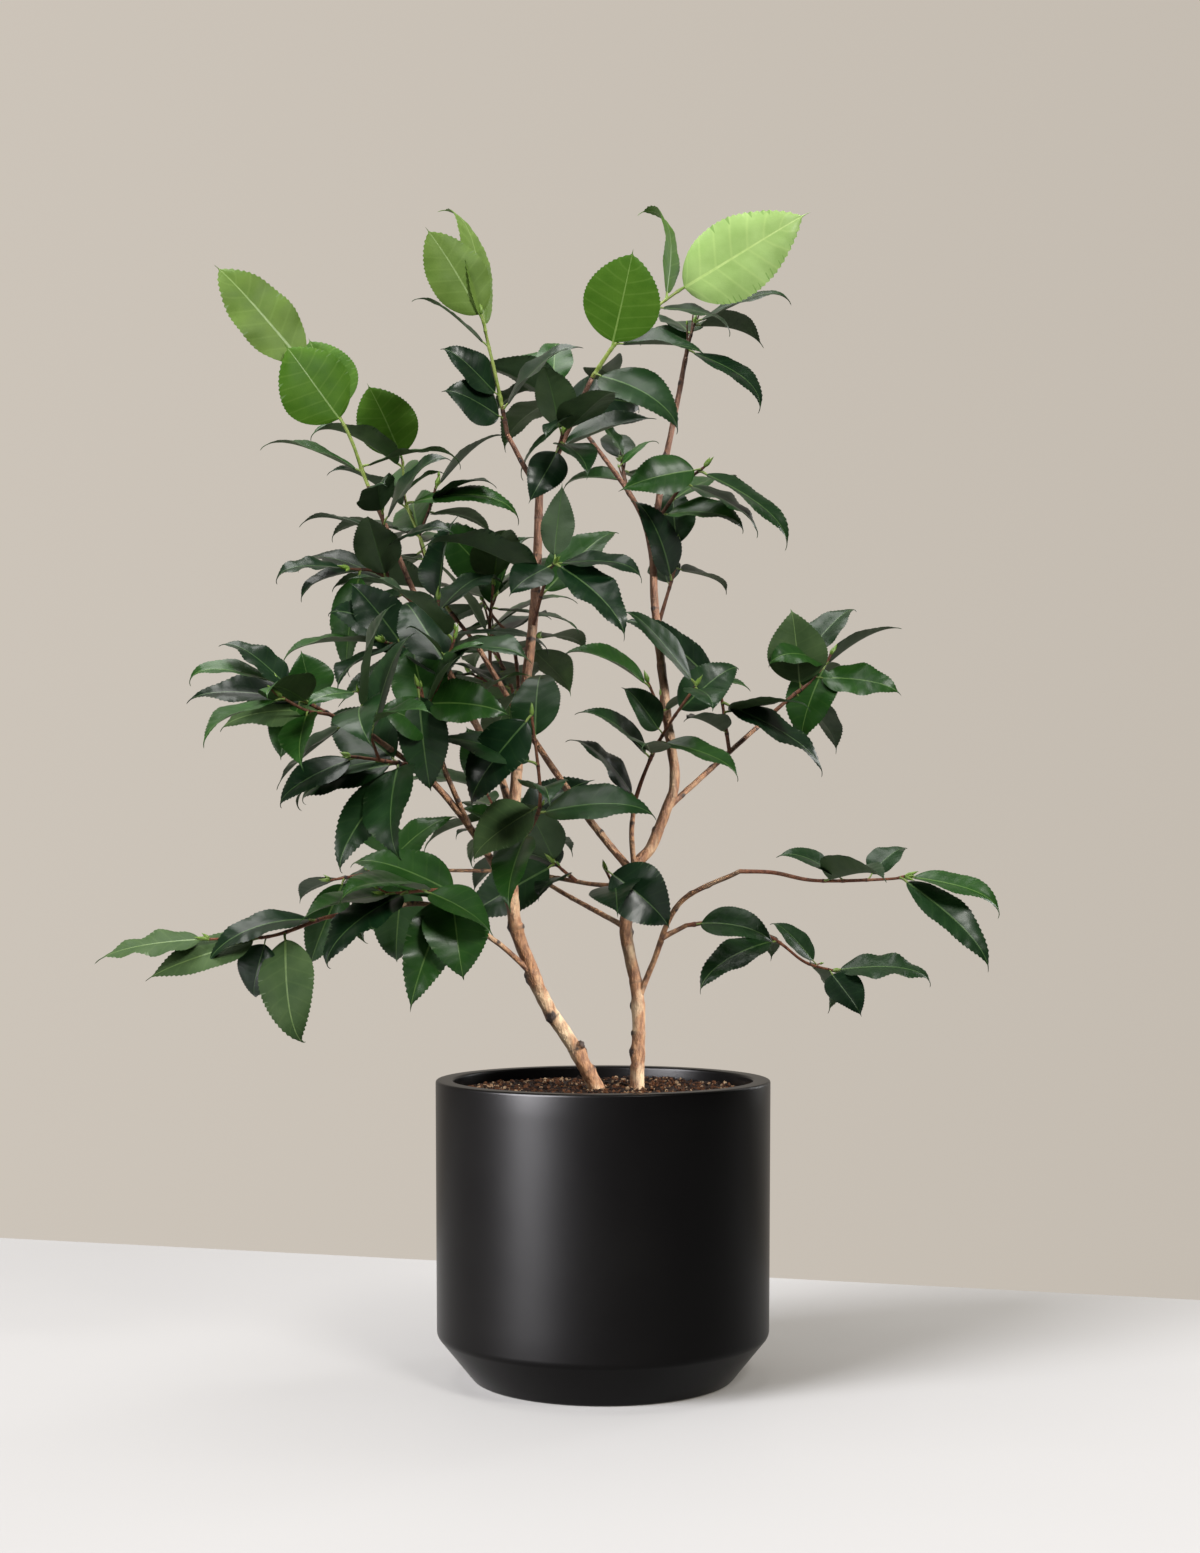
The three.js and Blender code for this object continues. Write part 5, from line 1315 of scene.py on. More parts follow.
# Every leaf at once. With s the share along the midrib and x the distance from it:
#   the midrib turns down by arch * s + curl * s^4 + hook * s^12 and sways sideways by s^2;
#   the half width is s^a (1 - s)^b, ending in a narrow drawn-out tip, with teeth along the margin;
#   the blade lifts from a rounded fold, waves at its margin, rolls down at its edge and puckers
#   between side veins that run forward from the midrib; the whole section twists with s.
def leafSkins(leaves, seed):
    draw = np.random.default_rng(seed)
    count, rows = len(leaves), blade["rows"]
    aim, face, length, width = (gather(leaves, key) for key in ("direction", "normal", "length", "width"))
    arch, curl, fold, shape = (gather(leaves, key) for key in ("arch", "curl", "fold", "shape"))
    side = np.cross(aim, face)
    start = gather(leaves, "root") + aim * gather(leaves, "petiole")[:, None]
    size = length / 80
    twist = np.radians(blade["twist"]) * draw.uniform(-1, 1, count)
    sway = blade["sway"] * draw.uniform(-1, 1, count)
    wave = draw.uniform(*blade["wave"], count) * size
    waves = draw.uniform(1.3, 3.2, count)
    phase = draw.uniform(0, 2 * math.pi, (count, 2))
    roll = draw.uniform(*blade["roll"], count)
    veins = np.round(blade["veins"] * draw.uniform(0.85, 1.2, count))
    young, flat = np.array([leaf["age"] == "young" for leaf in leaves]), blade["flat"]
    fold = fold * np.where(young, 1.0, draw.uniform(*blade["cup"], count))
    twist, wave = np.where(young, twist * flat["twist"], twist), np.where(young, wave * flat["wave"], wave)
    hook = np.radians(draw.uniform(*blade["hook"], count)) * np.where(young, flat["hook"], 1.0)

    # midrib, from half steps, with the two directions of its bend at each row
    def bent(s):
        turn = (arch[:, None] * s + curl[:, None] * s**4 + hook[:, None] * s**12)[..., None]
        return (aim[:, None] * np.cos(turn) - face[:, None] * np.sin(turn),
                face[:, None] * np.cos(turn) + aim[:, None] * np.sin(turn))

    steps, _ = bent((np.arange(rows) + 0.5) / rows)
    midrib = np.cumsum(steps, axis=1) * (length / rows)[:, None, None]
    midrib = start[:, None] + np.concatenate([np.zeros((count, 1, 3)), midrib], axis=1)
    s = np.linspace(0, 1, rows + 1)
    midrib = midrib + side[:, None] * (sway[:, None] * length[:, None] * s**2)[..., None]
    ahead, normal = bent(s)
    spin = (twist[:, None] * s)[..., None]
    across = side[:, None] * np.cos(spin) + normal * np.sin(spin)
    normal = normal * np.cos(spin) - side[:, None] * np.sin(spin)

    # half width
    a, b = shape[:, :1], shape[:, 1:]
    peak = a / (a + b)
    r = np.clip(s / 0.93, 0, 1)[None]
    body = r**a * (1 - r)**b / (peak**a * (1 - peak)**b)
    tail = blade["tail"] * np.clip((1 - s) / 0.2, 0, 1)[None] * np.where(young, flat["tail"], 1.0)[:, None]
    half = 0.5 * width[:, None] * np.sqrt(body**2 + tail**2)

    # columns across the leaf: down one side below, back over the top
    rib = (blade["rib"][1] + (blade["rib"][0] - blade["rib"][1]) * (1 - s)**0.8)[None] * size[:, None]
    rib = np.minimum(rib, 0.3 * half)
    top = [c * half for c in blade["columns"][:3]] + [-rib, rib] + [c * half for c in blade["columns"][3:]]
    x = np.stack(top[::-1] + top[1:-1], axis=-1)              # leaf, row, column
    columns, lane = len(top), np.arange(x.shape[-1])
    edge = (lane == 0) | (lane == columns - 1)
    below = (lane < columns) & ~edge
    isRib = np.isin(lane, [3, 4, columns + 2, columns + 3])
    c = np.abs(x) / np.maximum(half, 1e-6)[..., None]

    # lift of the blade above the flat
    soft = (0.14 * half + 0.5)[..., None]
    lift = np.tan(fold)[:, None, None] * (np.sqrt(x**2 + soft**2) - soft)
    lift -= roll[:, None, None] * half[..., None] * c**3
    phase = np.where(x > 0, phase[:, :1, None], phase[:, 1:, None])
    body = np.sin(math.pi * s)[None, :, None]
    ripple = np.sin(2 * math.pi * waves[:, None, None] * s[None, :, None] + phase)
    lift += wave[:, None, None] * ripple * c**2 * body
    along = veins[:, None, None] * (s[None, :, None] - 0.55 * np.abs(x) / length[:, None, None])
    lift -= blade["pucker"] * size[:, None, None] * np.cos(2 * math.pi * along) * c * (1.25 - c) * 2 * body
    thick = blade["thickness"] / 2
    keel = blade["keel"] * size[:, None] * ((1 - s)**0.9)[None] + 0.1
    lift += np.where(edge, 0.0, np.where(below, -thick, thick))
    lift -= np.where(isRib & below, keel[..., None], 0.0)
    lift -= np.where(isRib & ~below, 0.12, 0.0)

    # teeth
    tooth = (np.arange(rows + 1) % 2 == 1) * (s > 0.1) * np.clip((1 - s) / 0.12, 0, 1)
    teeth = blade["tooth"] * size[:, None] * tooth[None] * np.clip(half / 5, 0, 1)
    x = x + np.sign(x) * np.where(edge, teeth[..., None], 0.0)
    forward = np.where(edge, teeth[..., None] * 0.9, 0.0)

    points = midrib[:, :, None] + across[:, :, None] * x[..., None] + normal[:, :, None] * lift[..., None]
    points = points + ahead[:, :, None] * forward[..., None]
    ends = np.stack([midrib[:, 0] - aim * 0.3, midrib[:, -1]], axis=1)
    skin = np.concatenate([points[:, 1:-1].reshape(count, -1, 3), ends], axis=1)
    sheet = np.stack([0.5 + 0.5 * np.sign(x) * c, np.broadcast_to(s[None, :, None], x.shape)], axis=-1)
    sheet = sheet[:, 1:-1].reshape(count, -1, 2)
    sheet = np.concatenate([sheet, np.tile([[[0.5, 0.0], [0.5, 1.0]]], (count, 1, 1))], axis=1)

    quads, triangles = ringFaces(rows - 1, x.shape[-1])
    lanes = np.where(lane < columns - 1, 1, 0)                # 0 upper face, 1 lower face
    lanes[3] = lanes[columns + 2] = 2                         # 2 midrib
    kinds = np.concatenate([np.tile(lanes, (rows - 2) * count), np.tile(lanes, 2 * count)])
    each = skin.shape[1]
    quads, triangles = repeatFaces(quads, count, each), repeatFaces(triangles, count, each)
    return skin.reshape(-1, 3), quads, triangles, kinds, sheet.reshape(-1, 2)


# Upper face of a leaf: two near greens in soft clouds, with paler side veins drawn on the leaf's own
# sheet, where u runs across and v along: a vein lies wherever (v - 0.24 |u - 0.5|) * veins is whole.
def upperFinish(name, spec):
    roughness = spec["roughness"]
    finish, tree, shader = newFinish(name, spec["upper"][1], roughness)
    clouds = grain(tree, 55, 3)
    base = twoTones(tree, clouds, spec["upper"])
    sheet = tree.nodes.new("ShaderNodeUVMap")
    sheet.uv_map = "along"
    split = tree.nodes.new("ShaderNodeSeparateXYZ")
    tree.links.new(sheet.outputs["UV"], split.inputs["Vector"])
    aside = calculate(tree, "SUBTRACT", split.outputs["X"], 0.5)
    aside = calculate(tree, "ABSOLUTE", aside)
    lean = calculate(tree, "MULTIPLY_ADD", aside, -0.24, split.outputs["Y"])
    beat = calculate(tree, "MULTIPLY", lean, blade["veins"])
    near = calculate(tree, "PINGPONG", beat, 0.5)
    line = twoTones(tree, near, blackWhite[::-1], (0.0, 0.11))
    share = calculate(tree, "MULTIPLY", line, spec["veins"])
    tree.links.new(mixColours(tree, share, base, spec["rib"][1]), shader.inputs["Base Color"])
    roughen(tree, shader, clouds, roughness * 0.82, roughness * 1.25)
    emboss(tree, shader, grain(tree, 700, 3), 0.12, 0.0006)
    shader.inputs["Specular IOR Level"].default_value = leafShine["waxed" if spec["sheen"] else "soft"]
    shader.inputs["Coat Weight"].default_value = spec["sheen"]
    shader.inputs["Coat Roughness"].default_value = leafShine["coat"]
    return finish


# Lower face: paler, grey-green and matt, with a fine grain
def lowerFinish(name, tone):
    finish, tree, shader = newFinish(name, tone[1], 0.6)
    tree.links.new(twoTones(tree, grain(tree, 90, 4), tone), shader.inputs["Base Color"])
    emboss(tree, shader, grain(tree, 900, 3), 0.25, 0.0006)
    return finish


# Two near tones for each face and for the midrib, how rough the upper face is, how clear its
# veins are, and how strong its waxy coat is.
leafKinds = {
    "deep": {
        "upper": ((0.0036, 0.0165, 0.0056), (0.0076, 0.0300, 0.0095)),
        "lower": ((0.026, 0.058, 0.020), (0.044, 0.086, 0.031)),
        "rib": ((0.035, 0.090, 0.022), (0.065, 0.130, 0.036)),
        "roughness": 0.34, "veins": 0.08, "sheen": 0.10,
    },
    "dark": {
        "upper": ((0.0066, 0.0270, 0.0070), (0.0132, 0.0470, 0.0115)),
        "lower": ((0.031, 0.066, 0.021), (0.052, 0.096, 0.032)),
        "rib": ((0.042, 0.105, 0.024), (0.075, 0.150, 0.038)),
        "roughness": 0.37, "veins": 0.08, "sheen": 0.08,
    },
    "bright": {
        "upper": ((0.0130, 0.0560, 0.0080), (0.0245, 0.0880, 0.0125)),
        "lower": ((0.040, 0.092, 0.022), (0.066, 0.130, 0.034)),
        "rib": ((0.060, 0.150, 0.026), (0.105, 0.205, 0.040)),
        "roughness": 0.36, "veins": 0.10, "sheen": 0.08,
    },
    "fresh": {
        "upper": ((0.054, 0.104, 0.037), (0.088, 0.148, 0.056)),
        "lower": ((0.100, 0.165, 0.070), (0.140, 0.210, 0.095)),
        "rib": ((0.130, 0.225, 0.066), (0.185, 0.285, 0.092)),
        "roughness": 0.50, "veins": 0.12, "sheen": 0.0,
    },
    "young": {
        "upper": ((0.056, 0.150, 0.010), (0.086, 0.198, 0.017)),
        "lower": ((0.095, 0.200, 0.036), (0.130, 0.250, 0.050)),
        "rib": ((0.150, 0.280, 0.050), (0.210, 0.350, 0.068)),
        "roughness": 0.50, "veins": 0.20, "sheen": 0.0,
    },
    "pale": {
        "upper": ((0.118, 0.208, 0.036), (0.166, 0.268, 0.054)),
        "lower": ((0.125, 0.225, 0.055), (0.170, 0.280, 0.075)),
        "rib": ((0.190, 0.310, 0.070), (0.255, 0.385, 0.095)),
        "roughness": 0.45, "veins": 0.20, "sheen": 0.0,
    },
    "newest": {
        "upper": ((0.320, 0.500, 0.150), (0.395, 0.580, 0.198)),
        "lower": ((0.190, 0.355, 0.070), (0.240, 0.420, 0.094)),
        "rib": ((0.430, 0.620, 0.190), (0.540, 0.720, 0.260)),
        "roughness": 0.34, "veins": 0.30, "sheen": 0.1,
    },
}
leafShine = {"waxed": 0.24, "soft": 0.12, "coat": 0.18}
newestShape = (0.62, 0.95)
# How often the old leaves are of each kind, for a whole spray and for its strays
oldKinds = {"deep": (0.42, 0.45), "dark": (0.36, 0.35), "bright": (0.22, 0.2)}
kept = 0.6                             # share of a spray's leaves that are of its usual kind


# The kind of a leaf in new growth: the longest are paler, and the palest are on one spray.
def youngKind(name, leaf):
    if leaf["length"] <= 95 and name != "centre_left_tip":
        return "young"
    return "newest" if name == "centre_right_tip" else "pale"


# Deals each leaf to a kind: listed leaves by their age, the rest by spray with some strays.
def sortLeaves():
    piles = {kind: [] for kind in leafKinds}
    draw = np.random.default_rng(12)
    usually, strays = zip(*oldKinds.values())
    for name, shoot in grownShoots.items():
        usual = draw.choice(list(oldKinds), p=usually)
        for leaf in shoot["leaves"]:
            kind = usual if draw.random() < kept else draw.choice(list(oldKinds), p=strays)
            if leaf["age"] == "mid":
                kind = "fresh"
            if leaf["age"] == "young":
                kind = youngKind(name, leaf)
            if kind == "newest":
                leaf["shape"] = newestShape
            piles[kind].append((name, leaf))
    return piles


# One piece for each kind of leaf, with its upper face, its lower face and its midrib.
def makeLeaves(piles):
    for number, (kind, pile) in enumerate(piles.items()):
        spec = leafKinds[kind]
        points, quads, triangles, kinds, sheet = leafSkins([leaf for _, leaf in pile], 300 + number)
        finishes = [upperFinish(kind + "_leaf", spec), lowerFinish(kind + "_leaf_back", spec["lower"]),
                    greenFinish(kind + "_midrib", spec["rib"])]
        piece = newPiece("leaves_" + kind, points, quads, triangles, finishes, kinds=kinds, sheet=sheet)
        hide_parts(*sorted({"foliage_" + name for name, _ in pile}))
        print("leaves", kind, len(pile), "triangles", len(quads) * 2 + len(triangles))


makeLeaves(sortLeaves())


# Leaf stalks: short curved tubes from the twig to the blade

stalk = {
    "rings": 7, "sides": 7,
    "radii": (1.35, 0.82),
    "tone": ((0.17, 0.26, 0.055), (0.30, 0.40, 0.10)),
    "youngTone": ((0.26, 0.42, 0.08), (0.38, 0.52, 0.12)),
}


# Rings of points closed on a first and a last point, for many skins of the same layout.
def manySkins(rings, first, last):
    count, ringCount, sides = rings.shape[:3]
    points = np.concatenate([rings.reshape(count, -1, 3), first[:, None], last[:, None]], axis=1)
    quads, triangles = ringFaces(ringCount, sides)
    each = points.shape[1]
    return points.reshape(-1, 3), repeatFaces(quads, count, each), repeatFaces(triangles, count, each)


# Tubes for all stalks at once: each follows the curve that leaves the twig along its direction
# and arrives along the leaf's, and thins from foot to blade.
def stalkSkins(leaves):
    root, aim = gather(leaves, "root"), gather(leaves, "direction")
    length, size = gather(leaves, "petiole")[:, None], (gather(leaves, "length") / 80)[:, None]
    first, last = root, root + aim * (length + 0.8)
    bend = root + gather(leaves, "along") * length * 0.25 + aim * length * 0.25
    t = np.linspace(0, 1, stalk["rings"])[None, :, None]
    path = (1 - t)**2 * first[:, None] + 2 * t * (1 - t) * bend[:, None] + t**2 * last[:, None]
    along = units(2 * (1 - t) * (bend - first)[:, None] + 2 * t * (last - bend)[:, None])
    across = units(np.cross(along, gather(leaves, "normal")[:, None]))
    other = np.cross(along, across)
    angle = around(stalk["sides"])[None, None, :, None]
    low, high = stalk["radii"]
    radius = (low + (high - low) * t**0.6)[..., None] * np.clip(size, 0.6, 1.2)[:, :, None, None]
    spoke = across[:, :, None] * np.cos(angle) + other[:, :, None] * np.sin(angle)
    return manySkins(path[:, :, None] + radius * spoke, first, last)


# The stalks of old and of young leaves, each lot one piece.
def makeStalks():
    for name, ages, tone, slot in (("leaf_stalks", ("old", "mid", "small"), "tone", "foliage"),
                                   ("young_stalks", ("young",), "youngTone", "young_foliage")):
        chosen = [(spray, leaf) for spray, shoot in grownShoots.items()
                  for leaf in shoot["leaves"] if leaf["age"] in ages]
        stalkGreen = greenFinish(name + "_green", stalk[tone])
        piece = newPiece(name, *stalkSkins([leaf for _, leaf in chosen]), [stalkGreen])
        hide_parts(*sorted({"foliage_" + spray for spray, _ in chosen}))


makeStalks()
print("stalks made")


# Buds: pointed, in overlapping scales, at the tips of shoots and spurs and in some axils

bud = {
    "rows": 9, "sides": 10,
    "tipLength": (8.5, 12.5), "tipWidth": (3.4, 4.6),
    "sideLength": (4.0, 6.5), "sideWidth": (1.9, 2.6),
    "scales": 3.4,                     # from foot to tip
    "beside": 0.75,                    # size of a bud beside another
    "tone": ((0.115, 0.23, 0.030), (0.27, 0.42, 0.075)),
}


# Bodies turned about their own axes, all at once: the radius follows sin(pi s^0.72), drawn to a
# point, and each scale lifts it in a spiral that steps up and falls back.
def budSkins(buds):
    root, aim, length, width = (gather(buds, key) for key in ("root", "aim", "length", "width"))
    rows, angle = bud["rows"], around(bud["sides"])
    s = (np.arange(rows) + 0.7) / (rows + 0.4)
    lean = np.where(np.abs(aim[:, 2:]) > 0.9, np.array([[1.0, 0, 0]]), np.array([[0, 0, 1.0]]))
    across = units(np.cross(aim, lean))
    other = np.cross(aim, across)
    profile = np.sin(math.pi * s**0.72)**0.85 * (1 - 0.25 * s)
    scale = ((s[:, None] * bud["scales"] + angle[None] / math.pi) % 1.0)
    radius = 0.5 * width[:, None, None] * profile[None, :, None] * (0.92 + 0.16 * scale[None])
    turn = angle[None, None, :, None]
    spoke = across[:, None, None] * np.cos(turn) + other[:, None, None] * np.sin(turn)
    middle = root[:, None, None] + aim[:, None, None] * (length[:, None] * s)[..., None, None]
    rings = middle + spoke * radius[..., None]
    return manySkins(rings, root - aim * 0.3, root + aim * length[:, None] * 1.06)


# One to three buds at the tip of each shoot that no young leaf ends, one at each side twig's tip,
# and a small one at the end of each spur.
def makeBuds():
    draw = np.random.default_rng(31)
    buds = []
    for shoot in grownShoots.values():
        young = [leaf["root"] for leaf in shoot["leaves"] if leaf["age"] == "young"]
        for number, (axis, _) in enumerate(shoot["axes"]):
            tip, along, _ = alongCurve(axis, 1.0)
            if any(np.linalg.norm(root - tip) < 2 for root in young):
                continue
            for k in range(1 if number else int(draw.integers(1, 4))):
                aim = unit(along + up * 0.2 + draw.normal(0, 0.33 if k else 0.05, 3))
                small = bud["beside"] if k else 1.0
                length = draw.uniform(*bud["tipLength"]) * small
                width = draw.uniform(*bud["tipWidth"]) * small
                buds.append({"root": tip - along * 0.6, "aim": aim, "length": length, "width": width})
        for spur in shoot["spurs"]:
            aim = spur["bend"]
            tip = spur["root"] + (spur["direction"] + aim) * spur["length"] * 0.5
            length, width = draw.uniform(*bud["sideLength"]), draw.uniform(*bud["sideWidth"])
            buds.append({"root": tip - aim * 0.5, "aim": aim, "length": length, "width": width})
    piece = newPiece("buds", *budSkins(buds), [greenFinish("bud_green", bud["tone"], 0.38)], crease=50)
    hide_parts(*("foliage_" + name for name in grownShoots))
    return len(buds)


print("buds made:", makeBuds())


# Pot: one turned profile with rounded corners

# Each corner has its distance from the axis, its height, and how far its rounding reaches.
pot = {
    "start": (60, 0),
    "corners": [(98.5, 0, 2.6), (126, 34, 3), (127, 225.5, 2.2), (113.7, 225.5, 2.2), (112.7, 40, 8),
                (88.5, 14, 5)],
    "end": (40, 14),
    "sides": 192,
    "colour": (0.00035, 0.0003, 0.0003),
    "lighter": (0.00055, 0.0005, 0.00045),
    "roughness": 0.31,
    "shine": 0.07,
}


# A profile of straight runs whose corners are rounded: at each corner the arc is a blend
# between the points where it leaves the two runs, (1 - t)^2 p + 2 t (1 - t) q + t^2 r.
def roundedProfile(start, corners, end, steps=7):
    places = [np.array(place[:2], float) for place in (start, *corners, end)]
    t = np.linspace(0, 1, steps)[:, None]
    profile = places[0][None]
    for before, here, after, corner in zip(places, places[1:], places[2:], corners):
        first = here + unit(before - here) * corner[2]
        last = here + unit(after - here) * corner[2]
        arc = (1 - t)**2 * first + 2 * t * (1 - t) * here + t**2 * last
        gap = first - profile[-1]
        cuts = max(1, int(np.sqrt(gap @ gap) // 16))
        run = profile[-1] + gap * (np.arange(1, cuts) / cuts)[:, None]
        profile = np.concatenate([profile, run, arc])
    return np.concatenate([profile, places[-1][None]])


# The profile turned about the upright axis: each point (r, z) becomes a ring of radius r at height z.
def turnedSkin(profile, sides):
    angle = around(sides)
    ring = np.stack([np.cos(angle), np.sin(angle)], axis=1)
    flat = profile[:, 0][:, None, None] * ring[None]
    height = np.broadcast_to(profile[:, 1][:, None, None], flat.shape[:2] + (1,))
    rings = np.concatenate([flat, height], axis=2)
    quads, triangles = ringFaces(len(profile), sides)
    ends = [[0, 0, profile[0, 1]], [0, 0, profile[-1, 1]]]
    return np.concatenate([rings.reshape(-1, 3), ends]), quads, triangles


# Glaze: near black, satin, with a faint unevenness in gloss
def glazeFinish():
    finish, tree, shader = newFinish("black_glaze", pot["colour"], pot["roughness"])
    soft = grain(tree, 14, 3)
    tones = (pot["colour"], pot["lighter"])
    tree.links.new(twoTones(tree, soft, tones), shader.inputs["Base Color"])
    roughen(tree, shader, soft, pot["roughness"] * 0.94, pot["roughness"] * 1.06)
    emboss(tree, shader, grain(tree, 1600, 2), 0.06, 0.0003)
    shader.inputs["Specular IOR Level"].default_value = pot["shine"]
    return finish


# The pot in one skin, from the middle of its foot out, up, over the lip and down to its floor.
def makePot():
    profile = roundedProfile(pot["start"], pot["corners"], pot["end"])
    piece = newPiece("black_pot", *turnedSkin(profile, pot["sides"]), [glazeFinish()], crease=40)
    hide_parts("pot")
    placeDay("gleam", [piece])


makePot()
print("pot turned")


# Soil: a crumbled surface with loose lumps and chips of bark on it

soil = {
    "top": 216.5, "radius": 113.4, "depth": 12,
    "rings": 84, "sides": 220,
    "relief": 2.1,
    "crumbs": 2600, "crumb": (0.8, 2.3),
    "chips": 460, "chip": (2.2, 6.2),
    "tones": {
        "soil_dark": ((0.010, 0.005, 0.004), (0.045, 0.020, 0.012)),
        "soil_russet": ((0.070, 0.024, 0.010), (0.230, 0.092, 0.038)),
        "soil_pale": ((0.40, 0.22, 0.11), (0.66, 0.47, 0.30)),
    },
    "crumbTones": (0.50, 0.40, 0.10),  # how often the crumbs have each tone
    "chipTones": (0.28, 0.52, 0.20),
}


# Smooth noise over the plane: random heights on a square lattice, blended by the cubic 3u^2 - 2u^3.
def latticeNoise(x, y, size, draw):
    lattice = draw.uniform(-1, 1, (64, 64))
    u, v = x / size + 31, y / size + 31
    i, j = np.floor(u).astype(int), np.floor(v).astype(int)
    u, v = u - i, v - j
    u, v = u * u * (3 - 2 * u), v * v * (3 - 2 * v)
    i, j, k, l = i % 64, j % 64, (i + 1) % 64, (j + 1) % 64
    return (lattice[i, j] * (1 - u) * (1 - v) + lattice[k, j] * u * (1 - v)
            + lattice[i, l] * (1 - u) * v + lattice[k, l] * u * v)


# The soil's height: lumps of four sizes, and a dip towards the pot's wall.
def soilHeight(x, y):
    draw = np.random.default_rng(5)
    rise = latticeNoise(x, y, 22, draw) * 0.9 + latticeNoise(x, y, 7, draw) * 0.6
    rise += latticeNoise(x, y, 3.2, draw) * 0.45 + np.abs(latticeNoise(x, y, 1.9, draw)) * 0.5
    away = np.sqrt(x**2 + y**2)
    return soil["top"] + soil["relief"] * rise * 0.6 - 1.2 * np.clip((away - 98) / 15, 0, 1)


# Soil and bark crumbs: two tones in coarse grain, rough, with a fine relief
def soilFinish(name):
    tones = soil["tones"][name]
    finish, tree, shader = newFinish(name, tones[1], 0.9)
    coarse, fine = grain(tree, 420, 4), grain(tree, 1500, 3)
    tree.links.new(twoTones(tree, coarse, tones, (0.35, 0.65)), shader.inputs["Base Color"])
    roughen(tree, shader, coarse, 0.8, 1.0)
    emboss(tree, shader, fine, 0.7, 0.0012)
    return finish


# The surface is a disc of rings, drawn closer towards the rim, over a shallow skirt.
def makeSoilBed(finish):
    share = np.linspace(0.02, 1, soil["rings"])**0.9
    angle, away = around(soil["sides"]), (share * soil["radius"])[:, None]
    x, y = away * np.cos(angle), away * np.sin(angle)
    top = np.stack([x, y, soilHeight(x, y)], axis=2)[::-1]
    bottom = soil["top"] - soil["depth"]
    rings = np.concatenate([top[:1] * (0.99, 0.99, 0) + (0, 0, bottom), top])
    quads, triangles = ringFaces(len(rings), soil["sides"])
    ends = [[0, 0, bottom], [0, 0, float(soilHeight(np.zeros(1), np.zeros(1))[0])]]
    piece = newPiece("soil_bed", np.concatenate([rings.reshape(-1, 3), ends]), quads, triangles, [finish])
    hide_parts("soil")


# Random turns as 3 by 3 arrays: two random directions made square to each other, and their cross.
def randomTurns(draw, count):
    first, second = draw.normal(size=(count, 3)), draw.normal(size=(count, 3))
    first = units(first)
    second = units(second - first * (first * second).sum(1, keepdims=True))
    return np.stack([first, second, np.cross(first, second)], axis=2)


# Places spread evenly over a disc: the distance out is reach * sqrt(share).
def scatter(draw, count, reach):
    away, turn = reach * np.sqrt(draw.uniform(0, 1, count)), draw.uniform(0, 2 * math.pi, count)
    return away * np.cos(turn), away * np.sin(turn)


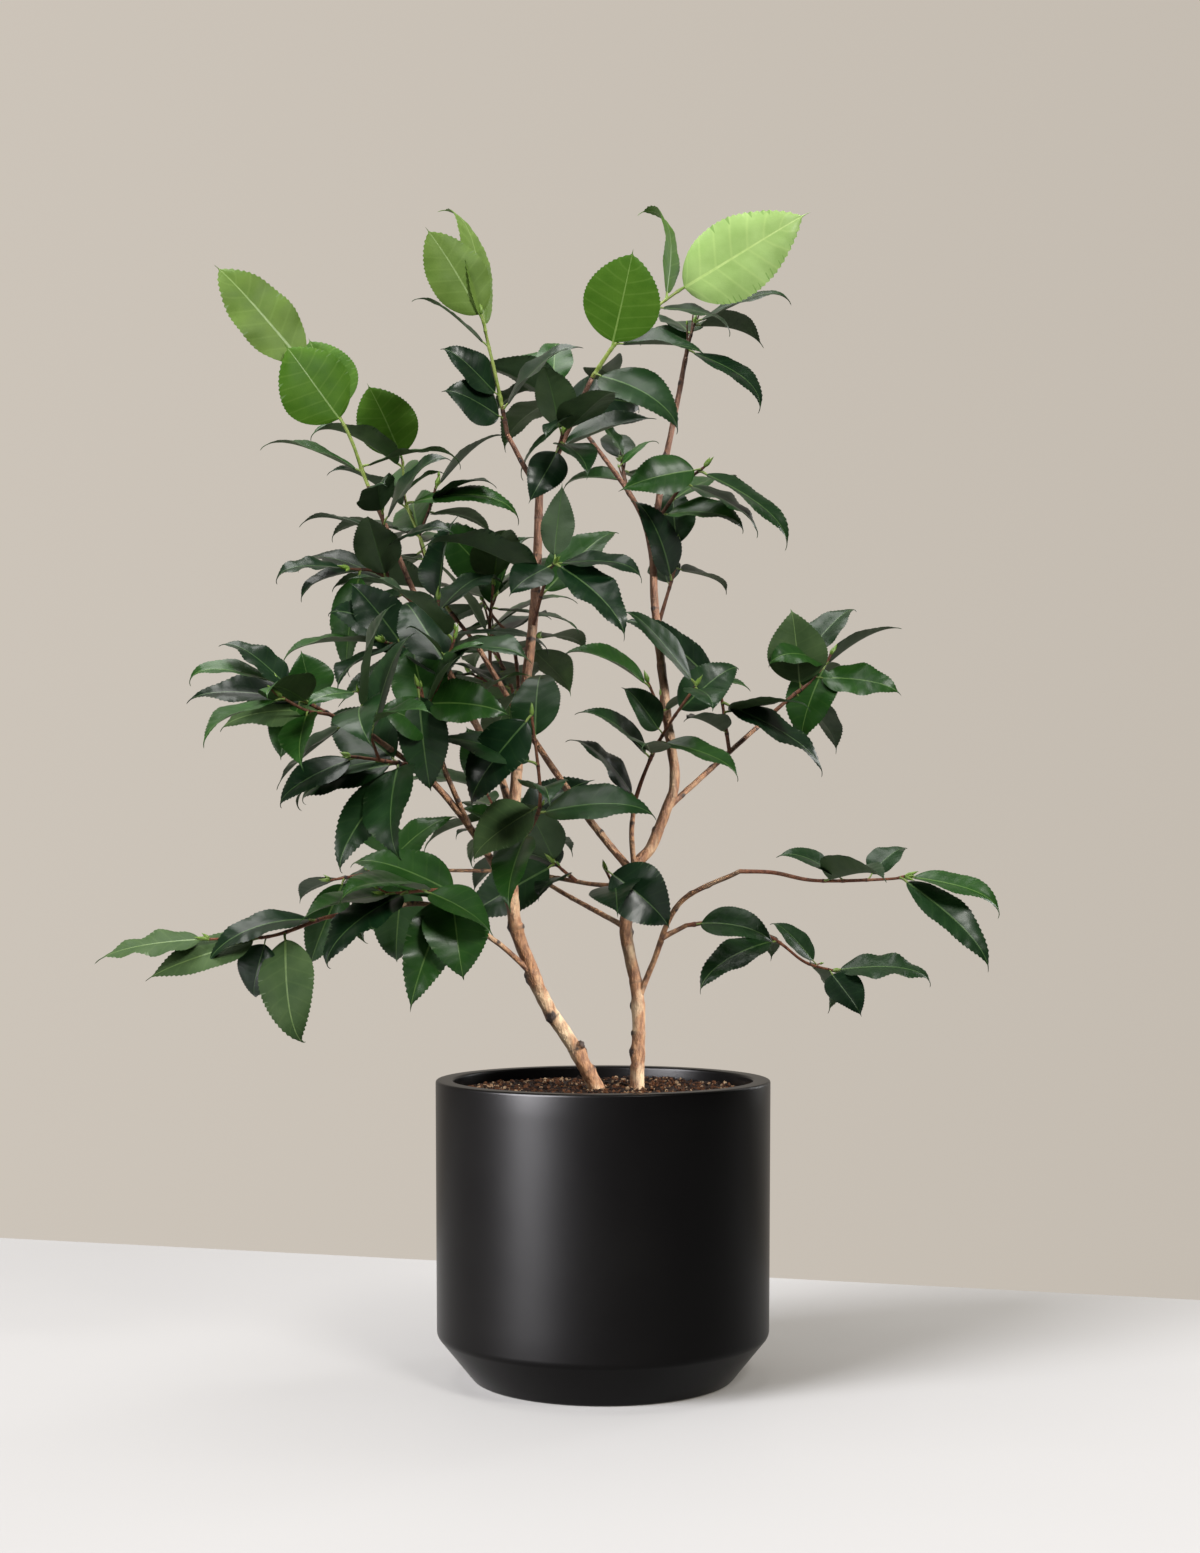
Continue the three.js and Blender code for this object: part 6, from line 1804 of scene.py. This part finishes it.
# Lumps: the twelve corners of a twenty-sided solid, each moved in or out at random, stretched and
# turned. Its faces are the threes of corners that lie next to one another.
def makeCrumbs(finishes):
    draw = np.random.default_rng(8)
    count, g = soil["crumbs"], (1 + math.sqrt(5)) / 2
    ball = np.array([(-1, g, 0), (1, g, 0), (-1, -g, 0), (1, -g, 0), (0, -1, g), (0, 1, g),
                     (0, -1, -g), (0, 1, -g), (g, 0, -1), (g, 0, 1), (-g, 0, -1), (-g, 0, 1)])
    ball = ball / math.sqrt(1 + g * g)
    faces = np.array([(0, 11, 5), (0, 5, 1), (0, 1, 7), (0, 7, 10), (0, 10, 11), (1, 5, 9), (5, 11, 4),
                      (11, 10, 2), (10, 7, 6), (7, 1, 8), (3, 9, 4), (3, 4, 2), (3, 2, 6), (3, 6, 8),
                      (3, 8, 9), (4, 9, 5), (2, 4, 11), (6, 2, 10), (8, 6, 7), (9, 8, 1)])
    size = draw.uniform(*soil["crumb"], count) * draw.uniform(0.6, 1, count)
    stretch = draw.uniform(0.55, 1.25, (count, 1, 3))
    lumps = ball[None] * draw.uniform(0.72, 1.15, (count, 12, 1)) * stretch * size[:, None, None]
    lumps = np.einsum("nij,nkj->nki", randomTurns(draw, count), lumps)
    x, y = scatter(draw, count, soil["radius"] - 3)
    lumps += np.stack([x, y, soilHeight(x, y) + size * 0.35], axis=1)[:, None]
    kinds = np.repeat(draw.choice(3, count, p=soil["crumbTones"]), len(faces))
    piece = newPiece("soil_crumbs", lumps.reshape(-1, 3), np.zeros((0, 4), int),
                     repeatFaces(faces, count, 12), finishes, kinds=kinds, crease=35)
    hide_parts("soil")


# Chips: eight-cornered slivers lying nearly flat, with their corners a little uneven.
def makeChips(finishes):
    draw = np.random.default_rng(21)
    count = soil["chips"]
    box = np.array([(x, y, z) for z in (-1, 1) for y in (-1, 1) for x in (-1, 1)], float) / 2
    faces = np.array([(0, 2, 3, 1), (4, 5, 7, 6), (0, 1, 5, 4), (2, 6, 7, 3), (0, 4, 6, 2), (1, 3, 7, 5)])
    length = draw.uniform(*soil["chip"], count)
    width, depth = length * draw.uniform(0.25, 0.5, count), draw.uniform(0.5, 1.1, count)
    size = np.stack([length, width, depth], axis=1)
    chips = box[None] * draw.uniform(0.7, 1.1, (count, 8, 3)) * size[:, None]
    turn, tilt = draw.uniform(0, 2 * math.pi, count), draw.normal(0, 0.25, count)
    cosine, sine, level, rise = np.cos(turn), np.sin(turn), np.cos(tilt), np.sin(tilt)
    turns = np.stack([np.stack([cosine * level, sine * level, -rise], 1),
                      np.stack([-sine, cosine, np.zeros(count)], 1),
                      np.stack([cosine * rise, sine * rise, level], 1)], 2)
    chips = np.einsum("nij,nkj->nki", turns, chips)
    x, y = scatter(draw, count, soil["radius"] - 6)
    chips += np.stack([x, y, soilHeight(x, y) + 0.7], axis=1)[:, None]
    kinds = np.repeat(draw.choice(3, count, p=soil["chipTones"]), len(faces))
    piece = newPiece("bark_chips", chips.reshape(-1, 3), repeatFaces(faces, count, 8),
                     np.zeros((0, 3), int), finishes, kinds=kinds, crease=30)
    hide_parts("soil")


soilFinishes = [soilFinish(name) for name in soil["tones"]]
makeSoilBed(soilFinishes[0])
makeCrumbs(soilFinishes)
makeChips(soilFinishes)
print("soil filled")
